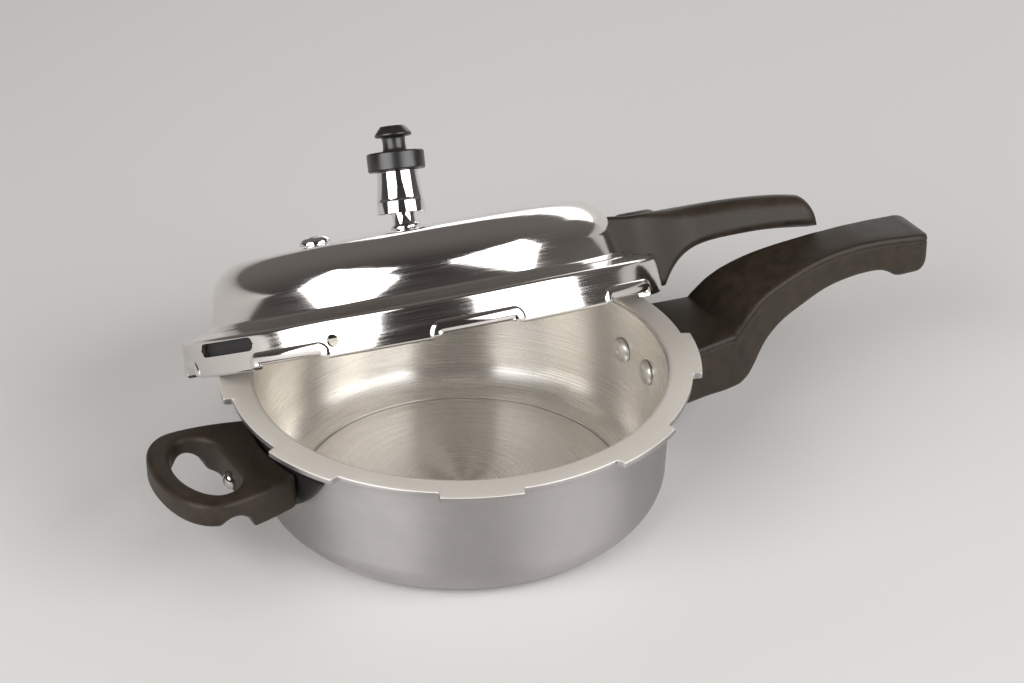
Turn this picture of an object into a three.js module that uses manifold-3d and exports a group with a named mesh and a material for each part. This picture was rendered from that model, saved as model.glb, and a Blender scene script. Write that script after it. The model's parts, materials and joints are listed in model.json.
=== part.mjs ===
// Outer-lid pressure pan, built from the pieces that it comes apart into on a bench.
// Millimetres, +Z up. The origin is the centre of the pan's base, on the worktop, and +X runs
// along the pan's long handle. The lid is off and leans on the pan: the back of its skirt
// stands on the worktop and its bayonet lips rest on the pan's rim.

import * as THREE from 'three';
import { mergeVertices } from 'three/addons/utils/BufferGeometryUtils.js';
import Module from 'manifold-3d';

const wasm = await Module();
wasm.setup();

// Clearances
const SEAT = 0.3; // between a piece and what it sits on
const BORE_PLAY = 0.35; // round a shank in its hole
const RIVET_SEAT = 0.6; // under a rivet's inner head, which meets a curved, drafted wall
const OVERCUT = 1; // how far a cut runs past the face it opens

// Pan
const PAN_BORE = 200; // inside diameter at the mouth
const PAN_HEIGHT = 71; // worktop to the rim's top face
const PAN_WALL = 2.6;
const PAN_FLOOR = 3;
const PAN_DRAFT = 2; // how much the radius narrows towards the floor
const PAN_CORNER = 19; // outside radius where the wall meets the base
const RIM_WIDTH = 10.3; // flange beyond the wall's outside, between the lugs
const RIM_THICK = 3;
const RIM_FILLET = 3;
const MOUTH_ROUND = 3.3;

// Bayonet lugs, the same count on the pan's rim and on the lid's skirt
const LUG_COUNT = 8;
const LUG_REACH = 4.4;
const LUG_SPAN = 19.6; // degrees
const LIP_GRIP = 2.5; // how far a lid lip reaches in under a lug
const LIP_THICK = 3;
const NOTCH_SPAN = 20.6; // degrees of skirt cut away between two lips
const NOTCH_TURN = -1.7; // degrees, first notch from the lid handle's line
const NOTCH_HEIGHT = 7;
const NOTCH_ROUND = 4.4;
const BEAD = 4.2; // diameter of the rolled edge round a notch

// Lid
const LID_WALL = 2.4;
const LID_PLAY = 1.2; // from the lug tips to the inside of the skirt
const SKIRT_HEIGHT = 20;
const SKIRT_BEND = 1.6;
const SKIRT_SHOULDER = 3.2;
const STEP_HEIGHT = 2.4; // raised ring where the dome starts
const STEP_WIDTH = 4.4;
const STEP_SLOPE = 1;
const DOME_RADIUS = 102;
const DOME_DRAFT = 2.4;
const DOME_HEIGHT = 54.4; // lip to the top of the crown
const DOME_CORNER = 20;
const DOME_CROWN = 1.9;
const WINDOW_LENGTH = 44; // slot in the skirt where the gasket can escape and vent
const WINDOW_HEIGHT = 6.6;
const WINDOW_MIDDLE = 13;
const WINDOW_AZIMUTH = -156.3;
const SPY_HOLE = 6;
const SPY_MIDDLE = 7.9;
const SPY_AZIMUTH = -124.6;

// Gasket
const GASKET_PLAY = 0.5; // to the inside of the skirt, which turns round it
const GASKET_DEPTH = 8.5;
const GASKET_WIDTH = 11;
const GASKET_LIP = 2; // thickness of each sealing lip
const GASKET_GROOVE = 6;
const GASKET_EDGE = 1; // chamfer that clears the fillet inside the skirt's shoulder

// How the lid leans
const LEAN = 30.15; // degrees from upright
const LEAN_AZIMUTH = 82.6;
const LID_SPIN = -92.4; // lid handle, from the downhill line
const RIM_REST = 0.6; // play where the lips rest on the rim

// Rivets and screws
const RIVET_SHANK = 5;
const RIVET_HEAD = 13;
const RIVET_DOME = 2.6;
const RIVET_SPREAD = 25.2; // between the two rivets of a bracket
const SCREW_SHANK = 4.6;
const SCREW_HEAD = 8.6;
const SCREW_DOME = 3;
const SCREW_POINT = 1; // chamfer at the end of the shank
const PLATE = 2; // bracket metal
const TONGUE_WIDTH = 15;
const TONGUE_THICK = 4;

// Pan handle, measured outwards from the wall
const HANDLE_LENGTH = 163.8;
const SADDLE_LENGTH = 40; // flat top next to the pan
const SADDLE_DROP = 11; // below the rim's top face
const SADDLE_DEPTH = 31.5;
const ROOT_WIDTH = 56;
const NECK_WIDTH = 45;
const GRIP_WIDTH = 29.6;
const GRIP_DEPTH = 20;
const GRIP_RISE = 25; // from saddle to crest
const CREST_RUN = 60; // from saddle's end to crest
const CREST_POWER = 2.2; // how early the top rises on that run
const UNDER_LEAD = 3; // where the underside starts to rise, before the saddle's end
const UNDER_RUN = 42; // from saddle's end to where the underside has risen
const UNDER_RISE = 2; // the underside's further rise along the grip
const SLIM_RUN = 54; // from saddle's end to the slim grip
const TIP_DROP = 4;
const HOOK_DEPTH = 7.5; // finger stop under the tip
const HOOK_LENGTH = 16;
const HOOK_RUN = 12; // slope into the finger stop
const TIP_ROUND = 6;
const TIP_SLIM = 3; // how far each side draws in round the tip
const EDGE_TOP = 2.4;
const EDGE_LOW = 5;
const PAN_RIVET_HEIGHT = 45.5; // above the worktop
const PAN_PLATE_HEIGHT = 13;
const PAN_TONGUE = 28;
const PAN_SCREW_SINK = 7.5; // recess for the screw's head, from the underside

// Helper handle, the loop opposite the long handle
const LOOP_TOP = 53.5; // above the worktop
const LOOP_LENGTH = 58; // from the wall to the end of the loop
const LOOP_WIDTH = 72;
const LOOP_THICK = 10.8;
const LOOP_ROOT_WIDTH = 57;
const LOOP_BAR = 10;
const LOOP_EDGE = 2.2;
const LOOP_FULLNESS = 0.7; // how far the loop's curves bulge into their corners, 0 to 1
const LOOP_SWELL = 0.6; // how early the sides swell from the root's width, 0 to 1
const BLOCK_LENGTH = 21; // root block, from the wall to the finger hole
const BLOCK_DEPTH = 16.5;
const ARCH_RADIUS = 9; // hollow under the bars beside the block
const ARCH_THICK = 7.5;
const EAR_WIDTH = 84; // bracket that shows beside the block
const EAR_HEIGHT = 24.5;
const EAR_RISE = 2; // above the handle's top
const HELPER_SCREW_DROP = 10.5; // screw axis below the handle's top

// Lid handle, in the lid's own frame
const LID_HANDLE_LENGTH = 92.8; // beyond the skirt
const LID_HANDLE_TOP = 40.2;
const LID_HANDLE_FALL = 7;
const LID_BACK_POWER = 5; // how late the back falls towards the tip
const LID_ROOT_WIDTH = 42;
const LID_GRIP_WIDTH = 27;
const LID_GRIP_LOW = 20.8;
const LID_FOOT_LOW = 2;
const LID_FOOT_THICK = 4.6;
const LID_ARCH_RUN = 50;
const LID_ARCH_POWER = 4; // how early the underside rises on that run
const LID_NECK_RUN = 24; // from the foot to the slim grip
const LID_TIP_ROUND = 9;
const LID_TIP_SINK = 3;
const LID_TIP_SLIM = 5.4; // how far each side draws in round the tip
const LID_TIP_FALL = 0.85; // share of the grip's depth that the top loses round the tip
const LID_EDGE = 8;
const BOSS_WIDTH = 17; // raised disc round the handle screw
const BOSS_RISE = 1.6;
const BOSS_RUN = 17; // from the dome's wall to the boss
const LID_PLATE_HEIGHT = 10.5;
const LID_TONGUE = 26;

// Vent tube, safety valve and weight, heights above the lid's crown
const VENT_FLANGE = 15;
const VENT_FLANGE_THICK = 1.8;
const VENT_TUBE = 11.4;
const VENT_BORE = 3;
const VENT_THREAD = 9;
const VENT_RISE = 24;
const VENT_TAPER = 2; // how much narrower the tube is at its tip
const NUT_FLATS = 14;
const NUT_THICK = 4;
const WASHER_THICK = 1.2;
const WASHER_WIDTH = 17;
const THREAD_TAIL = 1.5; // thread that shows past the nut
const SAFETY_RADIUS = 47; // from the lid's axis
const SAFETY_HEAD = 16;
const SAFETY_RISE = 3.4;
const SAFETY_EDGE = 2; // chamfer round the head
const SAFETY_PLUG = 6;
const PLUG_DOME = 0.7;
const WEIGHT_GAP = 7.6; // crown to the weight's foot
const WEIGHT_FOOT = 24.2;
const WEIGHT_NECK = 19.4;
const WEIGHT_BAND = 4;
const WEIGHT_HEIGHT = 21.3;
const WEIGHT_PLAY = 0.9; // round the vent tube
const WEIGHT_TILT = 4.2; // degrees that the loose weight rocks over towards the lid handle
const SPIGOT = 7; // stud that the collar and knob sit on
const COLLAR_WIDTH = 29;
const COLLAR_HEIGHT = 9.4;
const COLLAR_EDGE = 0.9;
const KNOB_NECK = 11.5;
const KNOB_NECK_HEIGHT = 7.2;
const KNOB_WIDTH = 18.6;
const KNOB_HEIGHT = 6.2;
const KNOB_TOP = 12.6; // width of the knob's flat top
const KNOB_EDGE = 2.2; // radius of the knob's lower edge
const PIN_WIDTH = 3.6;
const PIN_LENGTH = 7;

// Facets
const ROUND = 48; // round the pan and the lid
const SMALL_ROUND = 16;
const STUD_ROUND = 10;
const BEAD_STEPS = 10; // along a notch's rolled edge
const PAN_HANDLE_STEPS = 20;
const LID_HANDLE_STEPS = 17;
const TIP_ANGLES = [25, 48, 68, 82]; // where sections stand on the round of a handle's tip
const FULL_ROUND = 0.96; // largest share of a half section that its edge round may take

const { degToRad, lerp, smoothstep, clamp } = THREE.MathUtils;

// Pan radii and heights that the other pieces fit
const boreTop = PAN_BORE / 2;
const boreFoot = boreTop - PAN_DRAFT;
const wallTop = boreTop + PAN_WALL;
const wallFoot = boreFoot + PAN_WALL;
const gapRadius = wallTop + RIM_WIDTH;
const lugRadius = gapRadius + LUG_REACH;
const rimUnder = PAN_HEIGHT - RIM_THICK;
const draftTop = rimUnder - RIM_FILLET;
const lugPitch = 360 / LUG_COUNT;
const rivetClosing = (RIVET_SHANK + RIVET_HEAD) / 2; // flatter head, outside on the bracket
const rivetAngle = THREE.MathUtils.radToDeg(Math.asin(RIVET_SPREAD / 2 / boreTop));

function wallRadius(height) {
  return lerp(wallFoot, wallTop, clamp((height - PAN_CORNER) / (draftTop - PAN_CORNER), 0, 1));
}

// Lid radii that follow from the pan
const lipRadius = lugRadius - LIP_GRIP;
const skirtIn = lugRadius + LID_PLAY;
const skirtOut = skirtIn + LID_WALL;
const beadRadius = (skirtIn + skirtOut) / 2;
const domeFoot = DOME_RADIUS + DOME_DRAFT;
const crownRadius = DOME_RADIUS - DOME_CORNER;
const cornerHeight = DOME_HEIGHT - DOME_CROWN - DOME_CORNER;

function crownHeight(radius) {
  return DOME_HEIGHT - DOME_CROWN * (radius / crownRadius) ** 2;
}

const stepHeight = SKIRT_HEIGHT + STEP_HEIGHT;
const domeTilt = Math.atan2(DOME_DRAFT, cornerHeight - stepHeight);
const domeThick = LID_WALL * (Math.cos(domeTilt) + Math.sin(domeTilt)); // square to the drafted wall

function domeWall(height) {
  const share = clamp((height - stepHeight) / (cornerHeight - stepHeight), 0, 1);
  return lerp(domeFoot, DOME_RADIUS, share);
}

// Merges shared corners, drops collapsed triangles and turns the faces outwards.
function closed(geometry) {
  const bare = new THREE.BufferGeometry();
  bare.setAttribute('position', geometry.getAttribute('position'));
  bare.setIndex(geometry.getIndex());
  const merged = mergeVertices(bare, 1e-4);
  const position = merged.getAttribute('position');
  const corners = Array.from(merged.getIndex().array);
  const index = [];
  let volume = 0;
  const [a, b, c] = [new THREE.Vector3(), new THREE.Vector3(), new THREE.Vector3()];
  for (let i = 0; i < corners.length; i += 3) {
    const [p, q, r] = corners.slice(i, i + 3);
    if (p !== q && q !== r && r !== p) {
      index.push(p, q, r);
      a.fromBufferAttribute(position, p);
      b.fromBufferAttribute(position, q);
      c.fromBufferAttribute(position, r);
      volume += a.dot(b.cross(c));
    }
  }
  merged.setIndex(volume < 0 ? index.reverse() : index);
  return merged;
}

function toSolid(geometry) {
  const skin = closed(geometry);
  return new wasm.Manifold(new wasm.Mesh({
    numProp: 3,
    vertProperties: new Float32Array(skin.getAttribute('position').array),
    triVerts: new Uint32Array(skin.getIndex().array),
  }));
}

function toGeometry(solid) {
  const { vertProperties, triVerts } = solid.getMesh();
  const geometry = new THREE.BufferGeometry();
  geometry.setAttribute('position', new THREE.BufferAttribute(vertProperties, 3));
  geometry.setIndex(new THREE.BufferAttribute(triVerts, 1));
  return geometry;
}

function cut(geometry, ...tools) {
  return toGeometry(tools.reduce((solid, tool) => solid.subtract(toSolid(tool)), toSolid(geometry)));
}

function join(geometry, ...others) {
  return toGeometry(others.reduce((solid, other) => solid.add(toSolid(other)), toSolid(geometry)));
}

function common(geometry, other) {
  return toGeometry(toSolid(geometry).intersect(toSolid(other)));
}

// Points of an arc, [radius, height] pairs, from one angle to another in degrees.
function arc(centre, height, radius, from, to, steps) {
  return Array.from({ length: steps + 1 }, (_, i) => {
    const angle = degToRad(lerp(from, to, i / steps));
    return [centre + radius * Math.cos(angle), height + radius * Math.sin(angle)];
  });
}

function revolve(profile, facets) {
  const points = profile.map(([radius, height]) => new THREE.Vector2(Math.max(radius, 0), height));
  return closed(new THREE.LatheGeometry(points, facets).rotateX(Math.PI / 2));
}

// Stands a piece that was made along +X square on a wall, at an azimuth in degrees. A seat is
// the wall's radius and height there, and how far its face tilts.
function outwards(geometry, seat, azimuth) {
  return geometry
    .rotateY(seat.tilt)
    .translate(seat.radius, 0, seat.height)
    .rotateZ(degToRad(azimuth));
}

function panSeat(height) {
  const tilt = Math.atan2(PAN_DRAFT, draftTop - PAN_CORNER);
  return { radius: wallRadius(height), height, tilt };
}

function domeSeat(height) {
  return { radius: domeWall(height), height, tilt: -domeTilt };
}

function levelSeat(height) {
  return { radius: 0, height, tilt: 0 };
}

// A round bar from one distance to another, measured outwards from its seat.
function radialBar(radius, from, to, seat, azimuth) {
  const bar = new THREE.CylinderGeometry(radius, radius, to - from, STUD_ROUND)
    .rotateZ(-Math.PI / 2)
    .translate((from + to) / 2, 0, 0);
  return outwards(bar, seat, azimuth);
}

function rivetHole(seat, azimuth) {
  return radialBar(RIVET_SHANK / 2 + BORE_PLAY, -RIVET_HEAD, RIVET_HEAD, seat, azimuth);
}

function uprightBar(radius, low, high, x, facets = STUD_ROUND) {
  return new THREE.CylinderGeometry(radius, radius, high - low, facets)
    .rotateX(Math.PI / 2)
    .translate(x, 0, (low + high) / 2);
}

function block(x0, x1, halfWidth, z0, z1) {
  return new THREE.BoxGeometry(x1 - x0, halfWidth * 2, z1 - z0)
    .translate((x0 + x1) / 2, 0, (z0 + z1) / 2);
}

// Extrudes a shape drawn across and up, outwards along +X.
const acrossUpOut = new THREE.Matrix4().makeBasis(
  new THREE.Vector3(0, 1, 0),
  new THREE.Vector3(0, 0, 1),
  new THREE.Vector3(1, 0, 0),
);
function radialPlate(shape, from, to, curveSegments = 4) {
  return new THREE.ExtrudeGeometry(shape, { depth: to - from, bevelEnabled: false, curveSegments })
    .applyMatrix4(acrossUpOut)
    .translate(from, 0, 0);
}

// Joins rings with equal point counts into one skin with flat ends.
function loft(rings) {
  const count = rings[0].length;
  const geometry = new THREE.BufferGeometry().setFromPoints(rings.flat());
  const index = [];
  for (let i = 0; i + 1 < rings.length; i += 1) {
    for (let j = 0; j < count; j += 1) {
      const here = i * count + j;
      const beside = i * count + ((j + 1) % count);
      index.push(here, beside, beside + count, here, beside + count, here + count);
    }
  }
  const last = (rings.length - 1) * count;
  for (let j = 1; j + 1 < count; j += 1) {
    index.push(0, j + 1, j, last, last + j, last + j + 1);
  }
  geometry.setIndex(index);
  return closed(geometry);
}

// A handle's cross-section: a rounded box between two heights, square to the handle's run.
function section(x, halfWidth, low, high, roundTop, roundLow) {
  const limit = Math.min(halfWidth, (high - low) / 2) * FULL_ROUND;
  const top = Math.min(roundTop, limit);
  const bottom = Math.min(roundLow, limit);
  return [
    ...arc(halfWidth - top, high - top, top, 0, 90, 2),
    ...arc(top - halfWidth, high - top, top, 90, 180, 2),
    ...arc(bottom - halfWidth, low + bottom, bottom, 180, 270, 2),
    ...arc(halfWidth - bottom, low + bottom, bottom, 270, 360, 2),
  ].map(([y, z]) => new THREE.Vector3(x, y, z));
}

// Places along a handle: even steps, then closer ones round the tip.
function stations(start, tip, round, steps) {
  const body = Array.from({ length: steps }, (_, i) => lerp(start, tip - round, i / (steps - 1)));
  const bend = TIP_ANGLES.map((angle) => tip - round + round * Math.sin(degToRad(angle)));
  return [...body, ...bend];
}

// How far an edge has turned in at x, on a quarter round that ends at the tip.
function tipTurn(x, tip, round) {
  const along = clamp((x - tip + round) / round, 0, 1);
  return 1 - Math.sqrt(1 - along * along);
}

// Profile of a domed head that hangs below a height, from its top to its edge.
function domeBelow(radius, height, depth) {
  return arc(0, 0, 1, -90, 0, 3).map(([across, up]) => [across * radius, height + up * depth]);
}

// Rivet: domed head inside a wall, shank, and a flatter head outside on the bracket.
function rivet(wall, seat, azimuth) {
  const inner = -wall - RIVET_SEAT;
  const outer = SEAT * 2 + PLATE;
  const shank = RIVET_SHANK / 2;
  const closing = rivetClosing / 2;
  const profile = [
    ...domeBelow(RIVET_HEAD / 2, inner, RIVET_DOME),
    [shank, inner],
    [shank, outer],
    [closing, outer],
    [closing, outer + RIVET_DOME / 2],
    [0, outer + RIVET_DOME * (2 / 3)],
  ];
  return outwards(revolve(profile, STUD_ROUND).rotateY(Math.PI / 2), seat, azimuth);
}

// Screw standing on its head: the head's seat is at height 0 and the shank rises from it.
function screw(length) {
  const profile = [
    ...domeBelow(SCREW_HEAD / 2, 0, SCREW_DOME),
    [SCREW_SHANK / 2, 0],
    [SCREW_SHANK / 2, length - SCREW_POINT],
    [SCREW_SHANK / 2 - SCREW_POINT, length],
    [0, length],
  ];
  return revolve(profile, STUD_ROUND);
}

const aluminiumSatin = { color: 0xc9c4bf, roughness: 0.38, metalness: 1 };
const aluminiumPolished = { color: 0xdedad6, roughness: 0.1, metalness: 1 };
const chrome = { color: 0xe2e2e4, roughness: 0.06, metalness: 1 };
const steel = { color: 0xa9a7a4, roughness: 0.3, metalness: 1 };
const bakelite = { color: 0x3a342e, roughness: 0.48, metalness: 0 };
const paintedSteel = { color: 0x23201e, roughness: 0.5, metalness: 0.2 };
const rubber = { color: 0x191817, roughness: 0.7, metalness: 0 };
const fusibleAlloy = { color: 0x8f8d88, roughness: 0.45, metalness: 1 };

function piece(name, geometry, finish) {
  const mesh = new THREE.Mesh(geometry, new THREE.MeshStandardMaterial(finish));
  mesh.name = name;
  return mesh;
}

// Pan body: one spun bowl with a flanged rim, whose edge is cut back between eight lugs.
function panBody() {
  const innerCorner = PAN_CORNER - PAN_WALL;
  const profile = [
    [0, 0],
    ...arc(wallFoot - PAN_CORNER, PAN_CORNER, PAN_CORNER, -90, 0, 4),
    ...arc(wallTop + RIM_FILLET, draftTop, RIM_FILLET, 180, 90, 2),
    [lugRadius, rimUnder],
    [lugRadius, PAN_HEIGHT],
    ...arc(boreTop + MOUTH_ROUND, PAN_HEIGHT - MOUTH_ROUND, MOUTH_ROUND, 90, 180, 2),
    ...arc(boreFoot - innerCorner, PAN_FLOOR + innerCorner, innerCorner, 0, -90, 4),
    [0, PAN_FLOOR],
  ];
  const halfGap = degToRad(lugPitch - LUG_SPAN) / 2;
  const beyond = lugRadius + LUG_REACH;
  const gapShape = new THREE.Shape();
  gapShape.absarc(0, 0, gapRadius, -halfGap, halfGap, false);
  gapShape.absarc(0, 0, beyond, halfGap, -halfGap, true);
  const gaps = Array.from({ length: LUG_COUNT }, (_, i) =>
    new THREE.ExtrudeGeometry(gapShape, { depth: RIM_THICK * 3, bevelEnabled: false, curveSegments: 5 })
      .translate(0, 0, rimUnder - RIM_THICK)
      .rotateZ(degToRad(i * lugPitch)));
  const handleHoles = pairOf((azimuth) => rivetHole(panSeat(PAN_RIVET_HEIGHT), azimuth));
  const helperHoles = pairOf((azimuth) => rivetHole(panSeat(loopScrewHeight), 180 + azimuth));
  return cut(revolve(profile, ROUND), ...gaps, ...handleHoles, ...helperHoles);
}

// The space that the pan's wall takes up, grown by a clearance, for pieces that hug it.
function wallSpace(grow) {
  return revolve([
    [0, PAN_CORNER / 2],
    [wallFoot + grow, PAN_CORNER / 2],
    [wallFoot + grow, PAN_CORNER],
    [wallTop + grow, draftTop],
    [wallTop + grow, PAN_HEIGHT],
    [0, PAN_HEIGHT],
  ], ROUND);
}

// A bracket's curved plate: the part of a shell round the pan that lies inside an outline.
function wallPlate(outline) {
  const slab = radialPlate(outline, wallFoot - PAN_CORNER, wallTop + SEAT + PLATE * 2, 8);
  return cut(common(slab, wallSpace(SEAT + PLATE)), wallSpace(SEAT));
}

function boxShape(halfWidth, low, high) {
  return new THREE.Shape([
    new THREE.Vector2(-halfWidth, low),
    new THREE.Vector2(halfWidth, low),
    new THREE.Vector2(halfWidth, high),
    new THREE.Vector2(-halfWidth, high),
  ]);
}

function pairOf(makeOne) {
  return [-1, 1].map((sign) => makeOne(sign * rivetAngle));
}

// Pan handle: saddle under the rim, a swept step up, a slim grip and a finger stop at the tip.
const saddle = PAN_HEIGHT - SADDLE_DROP;
const handleTip = wallTop + HANDLE_LENGTH;
const saddleEnd = wallTop + SADDLE_LENGTH;
const crest = saddleEnd + CREST_RUN;
const plateHalf = (RIVET_SPREAD + rivetClosing + PLATE) / 2;
const panPlateLow = PAN_RIVET_HEIGHT - PAN_PLATE_HEIGHT / 2;
const panPlateHigh = PAN_RIVET_HEIGHT + PAN_PLATE_HEIGHT / 2;
const plateOut = wallTop + SEAT + PLATE;
const panTongueLow = PAN_RIVET_HEIGHT - TONGUE_THICK;
const panTongueEnd = plateOut + PAN_TONGUE;
const panScrewX = panTongueEnd - TONGUE_WIDTH / 2;
const panScrewSeat = saddle - SADDLE_DEPTH + PAN_SCREW_SINK;

function panHandleTop(x) {
  const climb = clamp((x - saddleEnd) / CREST_RUN, 0, 1);
  const fall = clamp((x - crest) / (handleTip - crest), 0, 1);
  return saddle + GRIP_RISE * (1 - (1 - climb) ** CREST_POWER) - TIP_DROP * fall * fall;
}

function panHandleLow(x) {
  const rootLow = saddle - SADDLE_DEPTH;
  const gripLow = saddle + GRIP_RISE - GRIP_DEPTH;
  const sweepEnd = saddleEnd + UNDER_RUN;
  const hookEnd = handleTip - HOOK_LENGTH;
  const sag = (SADDLE_DEPTH - GRIP_DEPTH) / 2;
  const sweep = smoothstep(x, saddleEnd - UNDER_LEAD, sweepEnd);
  const level = clamp((x - sweepEnd) / (hookEnd - HOOK_RUN - sweepEnd), 0, 1);
  const hook = HOOK_DEPTH * smoothstep(x, hookEnd - HOOK_RUN, hookEnd);
  return lerp(rootLow, gripLow - sag * (1 - level), sweep) + UNDER_RISE * level - hook;
}

function panHandleWidth(x) {
  const root = clamp((x - wallTop) / SADDLE_LENGTH, 0, 1);
  const slim = 1 - clamp((x - saddleEnd) / SLIM_RUN, 0, 1);
  const neck = lerp(ROOT_WIDTH, NECK_WIDTH, root);
  return GRIP_WIDTH + (neck - GRIP_WIDTH) * slim * slim;
}

function panHandle() {
  const start = wallFoot - PAN_WALL;
  const rings = stations(start, handleTip, TIP_ROUND, PAN_HANDLE_STEPS).map((x) => {
    const turn = tipTurn(x, handleTip, TIP_ROUND);
    const half = panHandleWidth(x) / 2 - TIP_SLIM * turn;
    const low = panHandleLow(x) + TIP_ROUND * turn;
    const top = panHandleTop(x) - (EDGE_TOP / 2) * turn;
    return section(x, half, low, top, EDGE_TOP, EDGE_LOW);
  });
  const pocket = block(
    start - OVERCUT,
    plateOut + RIVET_DOME + SEAT,
    plateHalf + SEAT,
    panPlateLow - SEAT,
    panPlateHigh + SEAT,
  );
  const slot = block(
    plateOut,
    panTongueEnd + SEAT,
    TONGUE_WIDTH / 2 + SEAT,
    panTongueLow - SEAT,
    panTongueLow + TONGUE_THICK + SEAT,
  );
  const hole = uprightBar(
    SCREW_SHANK / 2 + BORE_PLAY,
    panScrewSeat - OVERCUT,
    panTongueLow + OVERCUT,
    panScrewX,
  );
  const recess = uprightBar(
    SCREW_HEAD / 2 + BORE_PLAY * 2,
    saddle - SADDLE_DEPTH - OVERCUT,
    panScrewSeat + SEAT,
    panScrewX,
    SMALL_ROUND,
  );
  return cut(loft(rings), wallSpace(SEAT), pocket, slot, hole, recess);
}

function panHandleBracket() {
  const plate = wallPlate(boxShape(plateHalf, panPlateLow, panPlateHigh));
  const tongue = block(
    plateOut - PLATE / 2,
    panTongueEnd,
    TONGUE_WIDTH / 2,
    panTongueLow,
    panTongueLow + TONGUE_THICK,
  );
  const holes = pairOf((azimuth) => rivetHole(panSeat(PAN_RIVET_HEIGHT), azimuth));
  const tapped = uprightBar(
    SCREW_SHANK / 2 + BORE_PLAY,
    panTongueLow - OVERCUT,
    panTongueLow + TONGUE_THICK + OVERCUT,
    panScrewX,
  );
  return cut(join(plate, tongue), ...holes, tapped);
}

function panHandleScrew() {
  const length = panTongueLow + TONGUE_THICK - panScrewSeat;
  return screw(length).translate(panScrewX, 0, panScrewSeat);
}

// Helper handle, drawn pointing along +X and turned to the far side: a flat loop whose bars
// grow out of a deep root block, hollowed underneath beside the block.
const loopEnd = wallTop + LOOP_LENGTH;
const loopScrewHeight = LOOP_TOP - HELPER_SCREW_DROP;
const holeStart = wallTop + BLOCK_LENGTH;
const earTop = LOOP_TOP + EAR_RISE;
const earLow = earTop - EAR_HEIGHT;
const bracketOut = plateOut + SEAT;
const screwBoss = SCREW_SHANK / 2 + PLATE;
const bossEnd = bracketOut + RIVET_DOME;

function helperOutline() {
  const half = LOOP_WIDTH / 2;
  const root = LOOP_ROOT_WIDTH / 2;
  const shoulder = holeStart + LOOP_BAR / 2;
  const full = half * LOOP_FULLNESS;
  const swell = lerp(root, half, LOOP_SWELL);
  const turnIn = loopEnd - LOOP_BAR / 2;
  const shape = new THREE.Shape();
  shape.moveTo(wallFoot - PAN_WALL, -root);
  shape.bezierCurveTo(wallTop + BLOCK_LENGTH / 2, -swell, holeStart, -half, shoulder + LOOP_BAR, -half);
  shape.bezierCurveTo(turnIn, -half, loopEnd, -full, loopEnd, 0);
  shape.bezierCurveTo(loopEnd, full, turnIn, half, shoulder + LOOP_BAR, half);
  shape.bezierCurveTo(holeStart, half, wallTop + BLOCK_LENGTH / 2, swell, wallFoot - PAN_WALL, root);
  return shape;
}

function helperHole() {
  const half = LOOP_WIDTH / 2 - LOOP_BAR;
  const end = loopEnd - LOOP_BAR;
  const full = half * LOOP_FULLNESS;
  const round = half / 2;
  const turnIn = end - LOOP_BAR / 2;
  const hole = new THREE.Shape();
  hole.moveTo(holeStart, -half + round);
  hole.quadraticCurveTo(holeStart, -half, holeStart + round, -half);
  hole.bezierCurveTo(turnIn, -half, end, -full, end, 0);
  hole.bezierCurveTo(end, full, turnIn, half, holeStart + round, half);
  hole.quadraticCurveTo(holeStart, half, holeStart, half - round);
  return hole;
}

function helperHandle() {
  const bevel = {
    depth: BLOCK_DEPTH - LOOP_EDGE * 2,
    bevelThickness: LOOP_EDGE,
    bevelSize: LOOP_EDGE,
    bevelOffset: -LOOP_EDGE,
    bevelSegments: 2,
    curveSegments: 7,
  };
  const body = new THREE.ExtrudeGeometry(helperOutline(), bevel)
    .translate(0, 0, LOOP_TOP - BLOCK_DEPTH + LOOP_EDGE);
  const opening = new THREE.ExtrudeGeometry(helperHole(), {
    depth: BLOCK_DEPTH * 2,
    bevelEnabled: false,
    curveSegments: 6,
  }).translate(0, 0, LOOP_TOP - BLOCK_DEPTH * 1.5);
  const loopLow = LOOP_TOP - LOOP_THICK;
  const archStart = holeStart + LOOP_BAR / 3;
  const under = block(archStart, loopEnd + LOOP_BAR, LOOP_WIDTH, 0, loopLow);
  const arch = new THREE.CylinderGeometry(ARCH_RADIUS, ARCH_RADIUS, LOOP_WIDTH * 2, SMALL_ROUND)
    .translate(archStart + ARCH_RADIUS, 0, LOOP_TOP - ARCH_THICK - ARCH_RADIUS);
  const rivetRoom = block(
    wallFoot,
    bracketOut + RIVET_DOME * 2,
    plateHalf + SEAT,
    loopScrewHeight - rivetClosing / 2 - SEAT,
    loopScrewHeight + rivetClosing / 2 + SEAT,
  );
  const hole = radialBar(
    SCREW_SHANK / 2 + BORE_PLAY,
    wallTop,
    holeStart + LOOP_BAR,
    levelSeat(loopScrewHeight),
    0,
  );
  return cut(body, opening, under, arch, wallSpace(SEAT * 2 + PLATE), rivetRoom, hole);
}

function helperBracket() {
  const half = EAR_WIDTH / 2;
  const full = half * LOOP_FULLNESS;
  const bendUp = earLow + EAR_HEIGHT / 5;
  const outline = new THREE.Shape();
  outline.moveTo(-half, earTop);
  outline.bezierCurveTo(-full, bendUp, -half / 2, earLow, 0, earLow);
  outline.bezierCurveTo(half / 2, earLow, full, bendUp, half, earTop);
  const bossRoot = wallRadius(loopScrewHeight) + SEAT + PLATE / 2;
  const level = levelSeat(loopScrewHeight);
  const boss = radialBar(screwBoss, bossRoot, bossEnd, level, 0);
  const tapped = radialBar(SCREW_SHANK / 2 + BORE_PLAY, bossRoot, bossEnd + OVERCUT, level, 0);
  const holes = pairOf((azimuth) => rivetHole(panSeat(loopScrewHeight), azimuth));
  return cut(join(wallPlate(outline), boss), tapped, ...holes);
}

function helperScrew() {
  const tip = wallRadius(loopScrewHeight) + SEAT + PLATE / 2 + SEAT;
  return screw(holeStart + SEAT - tip)
    .rotateY(-Math.PI / 2)
    .translate(holeStart + SEAT, 0, loopScrewHeight);
}

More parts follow.
